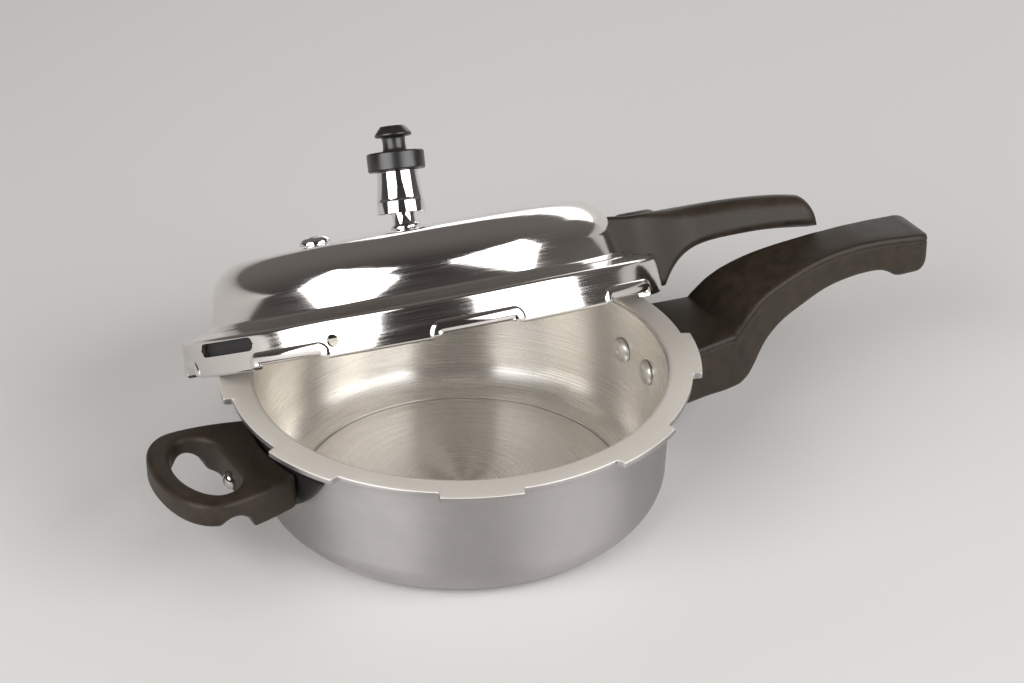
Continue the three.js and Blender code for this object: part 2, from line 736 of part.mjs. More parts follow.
// The lid's outer surface from skirt to crown, grown or shrunk by an offset: shrunk by the
// wall it is the inside, and grown by a seat it is the space that the lid takes up.
function lidSurface(grow) {
  const step = stepHeight + grow;
  const crown = [1, 0.5, 0].map((share) => [share * crownRadius, crownHeight(share * crownRadius)]);
  return [
    ...arc(skirtOut - SKIRT_SHOULDER, SKIRT_HEIGHT - SKIRT_SHOULDER, SKIRT_SHOULDER + grow, 0, 90, 2),
    [domeFoot + STEP_WIDTH + grow, SKIRT_HEIGHT + grow],
    [domeFoot + STEP_WIDTH - STEP_SLOPE + grow, step],
    [domeFoot + grow, step],
    ...arc(DOME_RADIUS - DOME_CORNER, cornerHeight, DOME_CORNER + grow, 0, 90, 4).slice(0, -1),
    ...crown.map(([radius, height]) => [radius, height + grow]),
  ];
}

// A flat path, drawn across and up, wrapped round the lid's axis at a radius.
class WrappedPath extends THREE.Curve {
  constructor(flat, radius) {
    super();
    this.flat = flat;
    this.radius = radius;
  }

  getPoint(t, target = new THREE.Vector3()) {
    const { x, y } = this.flat.getPoint(t);
    const angle = x / this.radius;
    return target.set(this.radius * Math.cos(angle), this.radius * Math.sin(angle), y);
  }
}

// Lid shell: drawn dome, step and skirt, with the skirt's foot turned in as bayonet lips and
// cut up into arched notches that have a rolled edge.
function lidShell() {
  const profile = [
    ...lidSurface(-LID_WALL).reverse(),
    [skirtIn, LIP_THICK],
    [lipRadius, LIP_THICK],
    [lipRadius, 0],
    ...arc(skirtOut - SKIRT_BEND, SKIRT_BEND, SKIRT_BEND, -90, 0, 2),
    ...lidSurface(0),
  ];
  const half = skirtOut * Math.sin(degToRad(NOTCH_SPAN / 2));
  const bendHeight = NOTCH_HEIGHT - NOTCH_ROUND;
  const edge = new THREE.Path();
  edge.moveTo(-half, BEAD / 2);
  edge.lineTo(-half, bendHeight);
  edge.absarc(-half + NOTCH_ROUND, bendHeight, NOTCH_ROUND, Math.PI, Math.PI / 2, true);
  edge.lineTo(half - NOTCH_ROUND, NOTCH_HEIGHT);
  edge.absarc(half - NOTCH_ROUND, bendHeight, NOTCH_ROUND, Math.PI / 2, 0, true);
  edge.lineTo(half, BEAD / 2);
  const arch = new THREE.Shape([
    new THREE.Vector2(-half, -LIP_THICK),
    ...edge.getPoints(2),
    new THREE.Vector2(half, -LIP_THICK),
  ]);
  const beadSection = new THREE.Shape();
  beadSection.absarc(0, 0, BEAD / 2, 0, Math.PI * 2, false);
  const bead = new THREE.ExtrudeGeometry(beadSection, {
    extrudePath: new WrappedPath(edge, beadRadius),
    steps: BEAD_STEPS,
    curveSegments: 2,
  });
  const notchRoot = lipRadius * Math.cos(degToRad(NOTCH_SPAN / 2)) - OVERCUT;
  const notch = radialPlate(arch, notchRoot, skirtOut + BEAD);
  const around = Array.from({ length: LUG_COUNT }, (_, i) => degToRad(NOTCH_TURN + i * lugPitch));
  const windowHalf = (WINDOW_LENGTH - WINDOW_HEIGHT) / 2;
  const windowShape = new THREE.Shape();
  windowShape.absarc(windowHalf, WINDOW_MIDDLE, WINDOW_HEIGHT / 2, -Math.PI / 2, Math.PI / 2, false);
  windowShape.absarc(-windowHalf, WINDOW_MIDDLE, WINDOW_HEIGHT / 2, Math.PI / 2, Math.PI * 1.5, false);
  const holes = [
    radialPlate(windowShape, skirtIn - WINDOW_HEIGHT, skirtOut + OVERCUT).rotateZ(degToRad(WINDOW_AZIMUTH)),
    radialBar(SPY_HOLE / 2, skirtIn - SPY_HOLE, skirtOut + OVERCUT, levelSeat(SPY_MIDDLE), SPY_AZIMUTH),
    uprightBar(VENT_THREAD / 2 + BORE_PLAY, DOME_HEIGHT - LID_WALL * 3, DOME_HEIGHT + OVERCUT, 0),
    uprightBar(
      VENT_THREAD / 2 + BORE_PLAY,
      DOME_HEIGHT - DOME_CROWN - LID_WALL * 3,
      DOME_HEIGHT + OVERCUT,
      -SAFETY_RADIUS,
    ),
    ...pairOf((azimuth) => rivetHole(domeSeat(lidRivetHeight), azimuth)),
  ];
  const notched = cut(revolve(profile, ROUND), ...around.map((angle) => notch.clone().rotateZ(angle)));
  const beaded = join(notched, ...around.map((angle) => bead.clone().rotateZ(angle)));
  return cut(beaded, ...holes);
}

function lidSpace(grow) {
  return revolve([[0, -skirtOut], [skirtOut + grow, -skirtOut], ...lidSurface(grow)], ROUND);
}

// Gasket: a moulded ring in the skirt's corner, with two lips round a groove that faces the axis.
function gasket() {
  const out = skirtIn - GASKET_PLAY;
  const top = SKIRT_HEIGHT - LID_WALL - SEAT;
  const low = top - GASKET_DEPTH;
  const inner = out - GASKET_WIDTH;
  const middle = (top + low) / 2;
  return revolve([
    [inner, top],
    [inner, top - GASKET_LIP],
    [inner + GASKET_GROOVE, middle],
    [inner, low + GASKET_LIP],
    [inner, low],
    [out, low],
    [out, top - GASKET_EDGE],
    [out - GASKET_EDGE, top],
    [inner, top],
  ], ROUND);
}

// Lid handle: a root that hugs the dome and skirt, a foot down the skirt, and a round-backed grip.
const lidTip = skirtOut + LID_HANDLE_LENGTH;
const lidFootEnd = skirtOut + SEAT + LID_FOOT_THICK;
const lidPlateLow = stepHeight + PLATE + SEAT * 2;
const lidPlateHigh = lidPlateLow + LID_PLATE_HEIGHT;
const lidRivetHeight = (lidPlateLow + lidPlateHigh) / 2;
const lidPlateOut = domeWall(lidPlateLow) + SEAT + PLATE;
const lidTongueEnd = lidPlateOut + LID_TONGUE;
const lidTongueLow = lidRivetHeight - TONGUE_THICK / 2;
const bossX = DOME_RADIUS + BOSS_RUN;
const lidScrewSeat = LID_HANDLE_TOP + BOSS_RISE - SCREW_DOME - SEAT;

function lidHandleLow(x) {
  const climb = clamp((x - lidFootEnd) / LID_ARCH_RUN, 0, 1);
  const sink = clamp((x - lidFootEnd - LID_ARCH_RUN) / (lidTip - lidFootEnd - LID_ARCH_RUN), 0, 1);
  return lerp(LID_FOOT_LOW, LID_GRIP_LOW, 1 - (1 - climb) ** LID_ARCH_POWER) - LID_TIP_SINK * sink * sink;
}

function lidHandle() {
  const start = DOME_RADIUS - DOME_CORNER / 4;
  const run = lidTip - start;
  const rings = stations(start, lidTip, LID_TIP_ROUND, LID_HANDLE_STEPS).map((x) => {
    const turn = tipTurn(x, lidTip, LID_TIP_ROUND);
    const back = LID_HANDLE_TOP - LID_HANDLE_FALL * ((x - start) / run) ** LID_BACK_POWER;
    const low = lidHandleLow(x);
    const top = back - (back - low) * LID_TIP_FALL * turn;
    const slim = smoothstep(x, domeFoot + STEP_WIDTH, lidFootEnd + LID_NECK_RUN);
    const half = lerp(LID_ROOT_WIDTH, LID_GRIP_WIDTH, slim) / 2 - LID_TIP_SLIM * turn;
    return section(x, half, low, top, lerp(LID_EDGE / 2, LID_EDGE, slim), LID_EDGE / 2);
  });
  const boss = uprightBar(
    BOSS_WIDTH / 2,
    LID_HANDLE_TOP - BOSS_RISE * 2,
    LID_HANDLE_TOP + BOSS_RISE,
    bossX,
    SMALL_ROUND,
  );
  const pocket = block(
    start - OVERCUT,
    lidPlateOut + RIVET_DOME + SEAT,
    plateHalf + SEAT,
    lidPlateLow - SEAT,
    lidPlateHigh + SEAT,
  );
  const slot = block(
    lidPlateOut,
    lidTongueEnd + SEAT,
    TONGUE_WIDTH / 2 + SEAT,
    lidTongueLow - SEAT,
    lidTongueLow + TONGUE_THICK + SEAT,
  );
  const bossTop = LID_HANDLE_TOP + BOSS_RISE + OVERCUT;
  const hole = uprightBar(SCREW_SHANK / 2 + BORE_PLAY, lidTongueLow, bossTop, bossX);
  const recess = uprightBar(
    SCREW_HEAD / 2 + BORE_PLAY,
    lidScrewSeat - SEAT,
    bossTop,
    bossX,
    SMALL_ROUND,
  );
  const beadRoom = beadRadius + BEAD / 2 + SEAT;
  const relief = revolve([
    [0, -LIP_THICK],
    [beadRoom, -LIP_THICK],
    [beadRoom, NOTCH_HEIGHT + BEAD],
    [0, NOTCH_HEIGHT + BEAD],
  ], ROUND);
  return cut(join(loft(rings), boss), lidSpace(SEAT), relief, pocket, slot, hole, recess);
}

function lidHandleBracket() {
  const slab = block(crownRadius, lidPlateOut + PLATE * 2, plateHalf, lidPlateLow, lidPlateHigh);
  const plate = cut(common(slab, lidSpace(SEAT + PLATE)), lidSpace(SEAT));
  const tongue = block(
    domeWall(lidRivetHeight) + SEAT * 2,
    lidTongueEnd,
    TONGUE_WIDTH / 2,
    lidTongueLow,
    lidTongueLow + TONGUE_THICK,
  );
  const holes = pairOf((azimuth) => rivetHole(domeSeat(lidRivetHeight), azimuth));
  const tapped = uprightBar(
    SCREW_SHANK / 2 + BORE_PLAY,
    lidTongueLow - OVERCUT,
    lidTongueLow + TONGUE_THICK + OVERCUT,
    bossX,
  );
  return cut(join(plate, cut(tongue, lidSpace(SEAT))), ...holes, tapped);
}

function lidHandleScrew() {
  return screw(lidScrewSeat - lidTongueLow)
    .rotateX(Math.PI)
    .translate(bossX, 0, lidScrewSeat);
}

// Vent tube: a turned nozzle clamped through the crown by a nut underneath.
const ventSeat = DOME_HEIGHT + SEAT;
const ventTop = DOME_HEIGHT + VENT_RISE;
const washerTop = DOME_HEIGHT - LID_WALL - SEAT;
const nutTop = washerTop - WASHER_THICK - SEAT;

function ventTube() {
  const bore = VENT_BORE / 2;
  const tail = nutTop - NUT_THICK - THREAD_TAIL;
  return revolve([
    [bore, tail],
    [VENT_THREAD / 2, tail],
    [VENT_THREAD / 2, ventSeat],
    [VENT_FLANGE / 2, ventSeat],
    [VENT_FLANGE / 2, ventSeat + VENT_FLANGE_THICK / 2],
    [VENT_TUBE / 2, ventSeat + VENT_FLANGE_THICK],
    [VENT_TUBE / 2, DOME_HEIGHT + WEIGHT_GAP],
    [VENT_TUBE / 2 - VENT_TAPER / 2, ventTop - VENT_TAPER],
    [bore + VENT_TAPER / 2, ventTop],
    [bore, ventTop],
    [bore, tail],
  ], SMALL_ROUND);
}

function washer(top) {
  const bore = VENT_THREAD / 2 + BORE_PLAY;
  return revolve([
    [bore, top - WASHER_THICK],
    [WASHER_WIDTH / 2, top - WASHER_THICK],
    [WASHER_WIDTH / 2, top],
    [bore, top],
    [bore, top - WASHER_THICK],
  ], SMALL_ROUND);
}

function nut(top) {
  const hexagon = new THREE.CylinderGeometry(1, 1, NUT_THICK, 6)
    .rotateX(Math.PI / 2)
    .scale(NUT_FLATS / Math.sqrt(3), NUT_FLATS / Math.sqrt(3), 1)
    .translate(0, 0, top - NUT_THICK / 2);
  return cut(hexagon, uprightBar(VENT_THREAD / 2 + BORE_PLAY, top - NUT_THICK * 2, top + NUT_THICK, 0));
}

// Safety valve: a low round head on the crown, with a plug of fusible alloy in its middle.
const safetySeat = crownHeight(SAFETY_RADIUS - SAFETY_HEAD / 2) + SEAT;
const safetyUnder = crownHeight(SAFETY_RADIUS + WASHER_WIDTH / 2) - LID_WALL - SEAT;
const safetyNutTop = safetyUnder - WASHER_THICK - SEAT;
const plugLow = safetySeat + SAFETY_RISE / 2;

function safetyValve() {
  const bore = VENT_BORE / 2;
  const head = SAFETY_HEAD / 2;
  const tail = safetyNutTop - NUT_THICK - THREAD_TAIL;
  return revolve([
    [bore, tail],
    [VENT_THREAD / 2, tail],
    [VENT_THREAD / 2, safetySeat],
    [head, safetySeat],
    [head, safetySeat + SAFETY_RISE - SAFETY_EDGE],
    [head - SAFETY_EDGE, safetySeat + SAFETY_RISE],
    [SAFETY_PLUG / 2 + SEAT, safetySeat + SAFETY_RISE],
    [SAFETY_PLUG / 2 + SEAT, plugLow - SEAT],
    [bore, plugLow - SEAT],
    [bore, tail],
  ], SMALL_ROUND);
}

function safetyPlug() {
  const top = safetySeat + SAFETY_RISE;
  return revolve([
    [0, plugLow],
    [SAFETY_PLUG / 2, plugLow],
    [SAFETY_PLUG / 2, top],
    [0, top + PLUG_DOME],
  ], STUD_ROUND);
}

// Weight: a tapered plated body that sits on the vent tube, with a needle that stops the
// tube's bore, and a heat-proof collar and knob on its stud.
const weightLow = DOME_HEIGHT + WEIGHT_GAP;
const collarLow = weightLow + WEIGHT_HEIGHT;
const knobLow = collarLow + SEAT * 2 + COLLAR_HEIGHT;
const headLow = knobLow + KNOB_NECK_HEIGHT;
const spigotTop = headLow + KNOB_HEIGHT / 3;
const needleTop = ventTop + PIN_LENGTH;

function weightBody() {
  const hollow = VENT_TUBE / 2 + WEIGHT_PLAY;
  const socket = PIN_WIDTH / 2 + SEAT;
  const socketLow = ventTop + VENT_TAPER;
  const taper = new THREE.QuadraticBezierCurve(
    new THREE.Vector2(WEIGHT_FOOT / 2, weightLow + WEIGHT_BAND),
    new THREE.Vector2(WEIGHT_NECK / 2, (weightLow + WEIGHT_BAND + collarLow) / 2),
    new THREE.Vector2(WEIGHT_NECK / 2, collarLow),
  );
  return revolve([
    [hollow, weightLow],
    [WEIGHT_FOOT / 2, weightLow],
    ...taper.getPoints(3).map(({ x, y }) => [x, y]),
    [SPIGOT / 2, collarLow],
    [SPIGOT / 2, spigotTop],
    [0, spigotTop],
    [0, needleTop + SEAT],
    [socket, needleTop + SEAT],
    [socket, socketLow],
    [hollow, socketLow],
    [hollow, weightLow],
  ], SMALL_ROUND);
}

function weightPin() {
  const radius = PIN_WIDTH / 2;
  return revolve([
    [0, ventTop + SEAT - VENT_BORE / 4],
    [VENT_BORE / 2 - SEAT, ventTop + SEAT],
    [radius, ventTop + SEAT + VENT_TAPER / 2],
    [radius, needleTop],
    [0, needleTop],
  ], STUD_ROUND);
}

function weightCollar() {
  const low = collarLow + SEAT;
  const high = low + COLLAR_HEIGHT;
  const bore = SPIGOT / 2 + SEAT;
  return revolve([
    [bore, low],
    [COLLAR_WIDTH / 2, low],
    [COLLAR_WIDTH / 2, high - COLLAR_EDGE],
    [COLLAR_WIDTH / 2 - COLLAR_EDGE, high],
    [bore, high],
    [bore, low],
  ], SMALL_ROUND);
}

function weightKnob() {
  const bore = SPIGOT / 2 + SEAT;
  const top = headLow + KNOB_HEIGHT;
  return revolve([
    [0, spigotTop + SEAT],
    [bore, spigotTop + SEAT],
    [bore, knobLow],
    [KNOB_NECK / 2, knobLow],
    [KNOB_NECK / 2, headLow],
    ...arc(KNOB_WIDTH / 2 - KNOB_EDGE, headLow + KNOB_EDGE, KNOB_EDGE, -90, 30, 3),
    [KNOB_TOP / 2, top],
    [0, top],
  ], SMALL_ROUND);
}

// Pan and what is fixed to it
const cooker = new THREE.Group();
cooker.add(
  piece('pan_body', panBody(), aluminiumSatin),
  piece('pan_handle', panHandle(), bakelite),
  piece('pan_handle_bracket', panHandleBracket(), steel),
  piece('pan_handle_screw', panHandleScrew(), steel),
);
pairOf((azimuth) => rivet(PAN_WALL, panSeat(PAN_RIVET_HEIGHT), azimuth)).forEach((geometry, i) => {
  cooker.add(piece(`pan_handle_rivet_${i + 1}`, geometry, aluminiumPolished));
});

const farSide = new THREE.Group();
farSide.rotation.z = Math.PI;
farSide.add(
  piece('helper_handle', helperHandle(), bakelite),
  piece('helper_bracket', helperBracket(), paintedSteel),
  piece('helper_screw', helperScrew(), steel),
);
pairOf((azimuth) => rivet(PAN_WALL, panSeat(loopScrewHeight), azimuth)).forEach((geometry, i) => {
  farSide.add(piece(`helper_rivet_${i + 1}`, geometry, aluminiumPolished));
});
cooker.add(farSide);

// The leaning lid. Its skirt's lowest point stands on the worktop. The line where the rim's top
// plane crosses the lid's opening is a chord of both circles, and the lid lies just far enough
// out for the lips to span that chord of the lugs.
const lean = degToRad(LEAN);
const shell = lidShell();
const leaning = shell.clone().rotateZ(degToRad(LID_SPIN)).rotateY(lean);
leaning.computeBoundingBox();
const lidRise = SEAT - leaning.boundingBox.min.z;
const chordInLid = (PAN_HEIGHT - lidRise) / Math.sin(lean);
const chordInRim = Math.sqrt(lugRadius ** 2 - lipRadius ** 2 + chordInLid ** 2) + RIM_REST;
const lidOut = chordInRim + chordInLid * Math.cos(lean);

const lidStand = new THREE.Group();
lidStand.rotation.z = degToRad(LEAN_AZIMUTH);
const lidTilt = new THREE.Group();
lidTilt.position.set(lidOut, 0, lidRise);
lidTilt.rotation.y = lean;
const lid = new THREE.Group();
lid.rotation.z = degToRad(LID_SPIN);

lid.add(
  piece('lid_shell', shell, aluminiumPolished),
  piece('gasket', gasket(), rubber),
  piece('lid_handle', lidHandle(), bakelite),
  piece('lid_handle_bracket', lidHandleBracket(), steel),
  piece('lid_handle_screw', lidHandleScrew(), steel),
  piece('vent_tube', ventTube(), chrome),
  piece('vent_washer', washer(washerTop), rubber),
  piece('vent_nut', nut(nutTop), steel),
  piece('safety_valve', safetyValve().translate(-SAFETY_RADIUS, 0, 0), chrome),
  piece('safety_plug', safetyPlug().translate(-SAFETY_RADIUS, 0, 0), fusibleAlloy),
  piece('safety_washer', washer(safetyUnder).translate(-SAFETY_RADIUS, 0, 0), rubber),
  piece('safety_nut', nut(safetyNutTop).translate(-SAFETY_RADIUS, 0, 0), steel),
);
const rockHeight = (weightLow + ventTop) / 2;
const weight = new THREE.Group();
weight.position.z = rockHeight;
weight.rotation.y = degToRad(WEIGHT_TILT);
weight.add(
  piece('weight_body', weightBody().translate(0, 0, -rockHeight), chrome),
  piece('weight_pin', weightPin().translate(0, 0, -rockHeight), steel),
  piece('weight_collar', weightCollar().translate(0, 0, -rockHeight), bakelite),
  piece('weight_knob', weightKnob().translate(0, 0, -rockHeight), bakelite),
);
lid.add(weight);
pairOf((azimuth) => rivet(domeThick, domeSeat(lidRivetHeight), azimuth)).forEach((geometry, i) => {
  lid.add(piece(`lid_handle_rivet_${i + 1}`, geometry, aluminiumPolished));
});
lidTilt.add(lid);
lidStand.add(lidTilt);
cooker.add(lidStand);

export default cooker;
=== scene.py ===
import json
import math
import bmesh
import bpy
import numpy as np
from mathutils import Matrix, Vector


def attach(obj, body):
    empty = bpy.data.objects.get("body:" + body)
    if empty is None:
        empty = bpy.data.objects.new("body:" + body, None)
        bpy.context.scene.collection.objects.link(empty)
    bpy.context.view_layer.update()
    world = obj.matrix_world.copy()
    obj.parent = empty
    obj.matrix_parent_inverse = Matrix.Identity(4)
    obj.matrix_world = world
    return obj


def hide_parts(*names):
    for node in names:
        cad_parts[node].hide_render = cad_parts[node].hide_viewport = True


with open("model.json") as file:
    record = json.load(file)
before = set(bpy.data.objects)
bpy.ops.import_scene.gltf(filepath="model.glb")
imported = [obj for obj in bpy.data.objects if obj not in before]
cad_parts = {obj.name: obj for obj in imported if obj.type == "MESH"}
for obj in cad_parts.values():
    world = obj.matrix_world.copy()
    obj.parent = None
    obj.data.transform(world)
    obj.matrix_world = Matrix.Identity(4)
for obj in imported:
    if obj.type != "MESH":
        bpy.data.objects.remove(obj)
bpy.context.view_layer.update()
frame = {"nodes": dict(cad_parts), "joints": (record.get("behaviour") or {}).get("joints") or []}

# Studio. A long lens about 1.5 m away looks 30 degrees down on a plain pale worktop. Two big soft
# boxes stand left and right, as the two white patches on the dome show, and a low one behind.
scene = bpy.context.scene
scene.view_settings.view_transform = "Standard"


def srgb(text):
    """A hex colour as linear red, green, blue and alpha."""
    parts = [int(text[i:i + 2], 16) / 255 for i in (1, 3, 5)]
    return [p / 12.92 if p <= 0.04045 else ((p + 0.055) / 1.055) ** 2.4 for p in parts] + [1.0]


def feed(tree, target, inputs):
    """Sets or links inputs of a node."""
    for key, value in dict(inputs).items():
        if isinstance(value, bpy.types.NodeSocket):
            tree.links.new(value, target.inputs[key])
        else:
            target.inputs[key].default_value = value


def add_node(tree, kind, inputs=(), **settings):
    """Adds a node with its settings, and sets or links its inputs."""
    made = tree.nodes.new(kind)
    for key, value in settings.items():
        setattr(made, key, value)
    feed(tree, made, inputs)
    return made


def new_finish(name, inputs):
    """A material with its node tree and shader; the inputs are those that don't vary over it."""
    made = bpy.data.materials.new(name)
    made.use_nodes = True
    shader = made.node_tree.nodes["Principled BSDF"]
    feed(made.node_tree, shader, inputs)
    return made, made.node_tree, shader


def shown(name, mesh):
    """An object for a mesh, in the scene."""
    piece = bpy.data.objects.new(name, mesh)
    scene.collection.objects.link(piece)
    return piece


lens_px, photo_px = 3000, 1024
yaw, pitch, roll = 0.01989, 0.530495, -0.003877
camera_spot = Vector((0, -1.2530, 0.8192))
photo_turn = Matrix.Rotation(math.radians(-27), 3, "Z")
forward = Vector((math.sin(yaw) * math.cos(pitch), math.cos(yaw) * math.cos(pitch), -math.sin(pitch)))
level = Vector((math.cos(yaw), -math.sin(yaw), 0))
lift = level.cross(forward)
right = level * math.cos(roll) + lift * math.sin(roll)
upward = lift * math.cos(roll) - level * math.sin(roll)
lens = bpy.data.cameras.new("studio_camera")
lens.sensor_width = 36
lens.lens = lens_px / photo_px * lens.sensor_width
lens.clip_end = 50
camera = bpy.data.objects.new("studio_camera", lens)
scene.collection.objects.link(camera)
axes = [photo_turn @ v for v in (right, upward, -forward)]
camera.matrix_world = Matrix.Translation(photo_turn @ camera_spot) @ Matrix(axes).transposed().to_4x4()
scene.camera = camera

# Worktop paint: pale and half matt, so it keeps a soft shadow and hardly mirrors the pan.
worktop_paint = new_finish("pale worktop paint", {"Base Color": srgb("#eeecea"), "Roughness": 0.55})[0]
worktop_half = 14
worktop_corners = [(x * worktop_half, y * worktop_half, 0) for x, y in ((-1, -1), (1, -1), (1, 1), (-1, 1))]
worktop_mesh = bpy.data.meshes.new("worktop")
worktop_mesh.from_pydata(worktop_corners, [], [(0, 1, 2, 3)])
worktop_mesh.materials.append(worktop_paint)
worktop = shown("worktop", worktop_mesh)
worktop.location.z = -0.0002

room = bpy.data.worlds.new("studio_room")
room.use_nodes = True
room_tree = room.node_tree
room_way = add_node(room_tree, "ShaderNodeTexCoord")
rearward = add_node(room_tree, "ShaderNodeVectorMath",
                    {0: room_way.outputs["Generated"], 1: (0.39, 0.77, 0.5)}, operation="DOT_PRODUCT")
fade = add_node(room_tree, "ShaderNodeMapRange",
                {"Value": rearward.outputs["Value"], "From Min": -0.3, "From Max": 0.9},
                interpolation_type="SMOOTHSTEP")
shade = add_node(room_tree, "ShaderNodeMixRGB",
                 {"Fac": fade.outputs["Result"], "Color1": srgb("#3c3836"), "Color2": srgb("#6e6a67")})
feed(room_tree, room_tree.nodes["Background"], {"Color": shade.outputs["Color"]})
scene.world = room

aim_at = Vector((0, 0, 0.09))
for box_name, azimuth, reach, height, wide, tall, watts in (
        ("left", -163, 2.0, 1.03, 1.9, 1.9, 46.0), ("right", -58, 2.0, 1.1, 2.15, 1.65, 44.0),
        ("back", 50, 2.2, 0.47, 2.0, 0.84, 9.0)):
    box_light = bpy.data.lights.new("soft_box_" + box_name, "AREA")
    box_light.shape = "RECTANGLE"
    box_light.size = wide
    box_light.size_y = tall
    box_light.energy = watts
    soft_box = bpy.data.objects.new(box_light.name, box_light)
    scene.collection.objects.link(soft_box)
    stand = Matrix.Rotation(math.radians(azimuth), 3, "Z") @ Vector((reach, 0, height))
    soft_box.location = stand
    soft_box.rotation_mode = "QUATERNION"
    soft_box.rotation_quaternion = (aim_at - stand).to_track_quat("-Z", "Y")

# Pan body. One bowl spun from aluminium sheet, satin outside and tool-marked inside, with a
# machined flange whose edge is cut back between eight bayonet lugs.
MM = Matrix.Scale(0.001, 4)
bore, wall, floor_thick, pan_height, draft = 100.0, 2.6, 3.0, 71.0, 2.0
base_round, rim_thick, rim_fillet, mouth_round, edge_round = 19.0, 3.0, 3.0, 3.3, 0.6
lug_count, lug_edge, gap_edge, lug_half, lug_slope = 8, 117.3, 112.9, 9.8, 0.7
groove_deep = 0.5


def arc(centre, height, radius, start, end, steps):
    """Points on an arc of a profile, as radius and height, angles in degrees."""
    angles = np.radians(np.linspace(start, end, steps + 1))
    return [(centre + radius * math.cos(a), height + radius * math.sin(a)) for a in angles]


def close_up(mesh, sharp):
    """Merges doubles, turns the faces outwards and shades them smooth up to an angle in degrees."""
    work = bmesh.new()
    work.from_mesh(mesh)
    bmesh.ops.remove_doubles(work, verts=work.verts, dist=1e-3)
    bmesh.ops.recalc_face_normals(work, faces=work.faces)
    work.to_mesh(mesh)
    work.free()
    mesh.shade_smooth()
    mesh.set_sharp_from_angle(angle=math.radians(sharp))


def skin(name, grid, keep=None, turns=None, sharp=38, extra=None):
    """A closed-round mesh over a grid of points, in mm, with a UV map in mm round and along it."""
    rows, columns = grid.shape[:2]
    row = np.arange(rows - 1)[:, None] + np.zeros((1, columns), int)
    column = np.arange(columns)[None] + np.zeros((rows - 1, 1), int)
    beside = (column + 1) % columns
    quads = np.stack([row * columns + column, row * columns + beside,
                      (row + 1) * columns + beside, (row + 1) * columns + column], -1)
    along = np.concatenate([[0], np.cumsum(np.linalg.norm(np.diff(grid, axis=0), axis=2).mean(1))])
    turns = np.linspace(0, 1, columns + 1) if turns is None else turns
    round_it = turns * 2 * math.pi * bore
    uv = np.stack([np.stack([round_it[column + i], along[row + j]], -1)
                   for i, j in ((0, 0), (1, 0), (1, 1), (0, 1))], 2)
    kept = np.ones((rows - 1, columns), bool) if keep is None else keep
    faces, corners = quads[kept].reshape(-1, 4), uv[kept].reshape(-1, 4, 2)
    if extra is not None:
        faces = np.concatenate([faces, extra])
        corners = np.concatenate([corners, np.zeros((len(extra), 4, 2))])
    mesh = bpy.data.meshes.new(name)
    mesh.from_pydata(grid.reshape(-1, 3).tolist(), [], faces.tolist())
    layer = mesh.uv_layers.new(name="UVMap")
    layer.uv.foreach_set("vector", corners.reshape(-1).astype(np.float32))
    close_up(mesh, sharp)
    return mesh


def ring_row(radius, height, count):
    """A row of a round grid, whose radius and height are one value or vary round it."""
    return np.stack([np.broadcast_to(radius, count), np.broadcast_to(height, count)], -1)


def round_grid(rows, degrees):
    """Points of rows of radius and height, at their azimuths."""
    shell, turn = np.array(rows), np.radians(degrees)
    return np.stack([shell[..., 0] * np.cos(turn), shell[..., 0] * np.sin(turn), shell[..., 1]], -1)


def turned(name, profile, steps, sharp=38):
    """A lathe-turned piece from a profile of radius and height."""
    degrees = np.linspace(0, 360, steps, endpoint=False)
    return skin(name, round_grid([ring_row(r, z, steps) for r, z in profile], degrees), sharp=sharp)


def tool_lines(tree, shader, length, line, detail):
    """A grain of lines round a piece, in mm along and across them, which also turn its highlights."""
    around = add_node(tree, "ShaderNodeUVMap", uv_map="UVMap")
    lines = add_node(tree, "ShaderNodeMapping",
                     {"Vector": around.outputs["UV"], "Scale": (1 / length, 1 / line, 1)})
    grain = add_node(tree, "ShaderNodeTexNoise",
                     {"Vector": lines.outputs["Vector"], "Scale": 1.0, "Detail": detail})
    lay = add_node(tree, "ShaderNodeTangent", direction_type="UV_MAP", uv_map="UVMap")
    feed(tree, shader, {"Tangent": lay.outputs["Tangent"]})
    return grain.outputs["Fac"]


def speckle(tree, size, detail, rough=0.5):
    """A grain that is alike in all directions, of a size in mm."""
    place = add_node(tree, "ShaderNodeTexCoord")
    grain = add_node(tree, "ShaderNodeTexNoise", {"Vector": place.outputs["Object"], "Scale": 1000 / size,
                                                  "Detail": detail, "Roughness": rough})
    return grain.outputs["Fac"]


def tint(tree, shader, grain, spread, dark, light):
    """Colours a finish from dark to light over a spread of its grain."""
    tone_at = add_node(tree, "ShaderNodeMapRange",
                       {"Value": grain, "From Min": spread[0], "From Max": spread[1]})
    tone = add_node(tree, "ShaderNodeMixRGB",
                    {"Fac": tone_at.outputs["Result"], "Color1": srgb(dark), "Color2": srgb(light)})
    feed(tree, shader, {"Base Color": tone.outputs["Color"]})


def wear(tree, shader, grain, spread, rough, relief, depth):
    """Varies the roughness over a spread of the grain, and adds a relief that is a depth in mm."""
    haze = add_node(tree, "ShaderNodeMapRange",
                    {"Value": grain, "From Min": spread[0], "From Max": spread[1],
                     "To Min": rough[0], "To Max": rough[1]})
    bump = add_node(tree, "ShaderNodeBump", {"Height": relief, "Strength": 1.0, "Distance": depth * 0.001})
    feed(tree, shader, {"Roughness": haze.outputs["Result"], "Normal": bump.outputs["Normal"]})


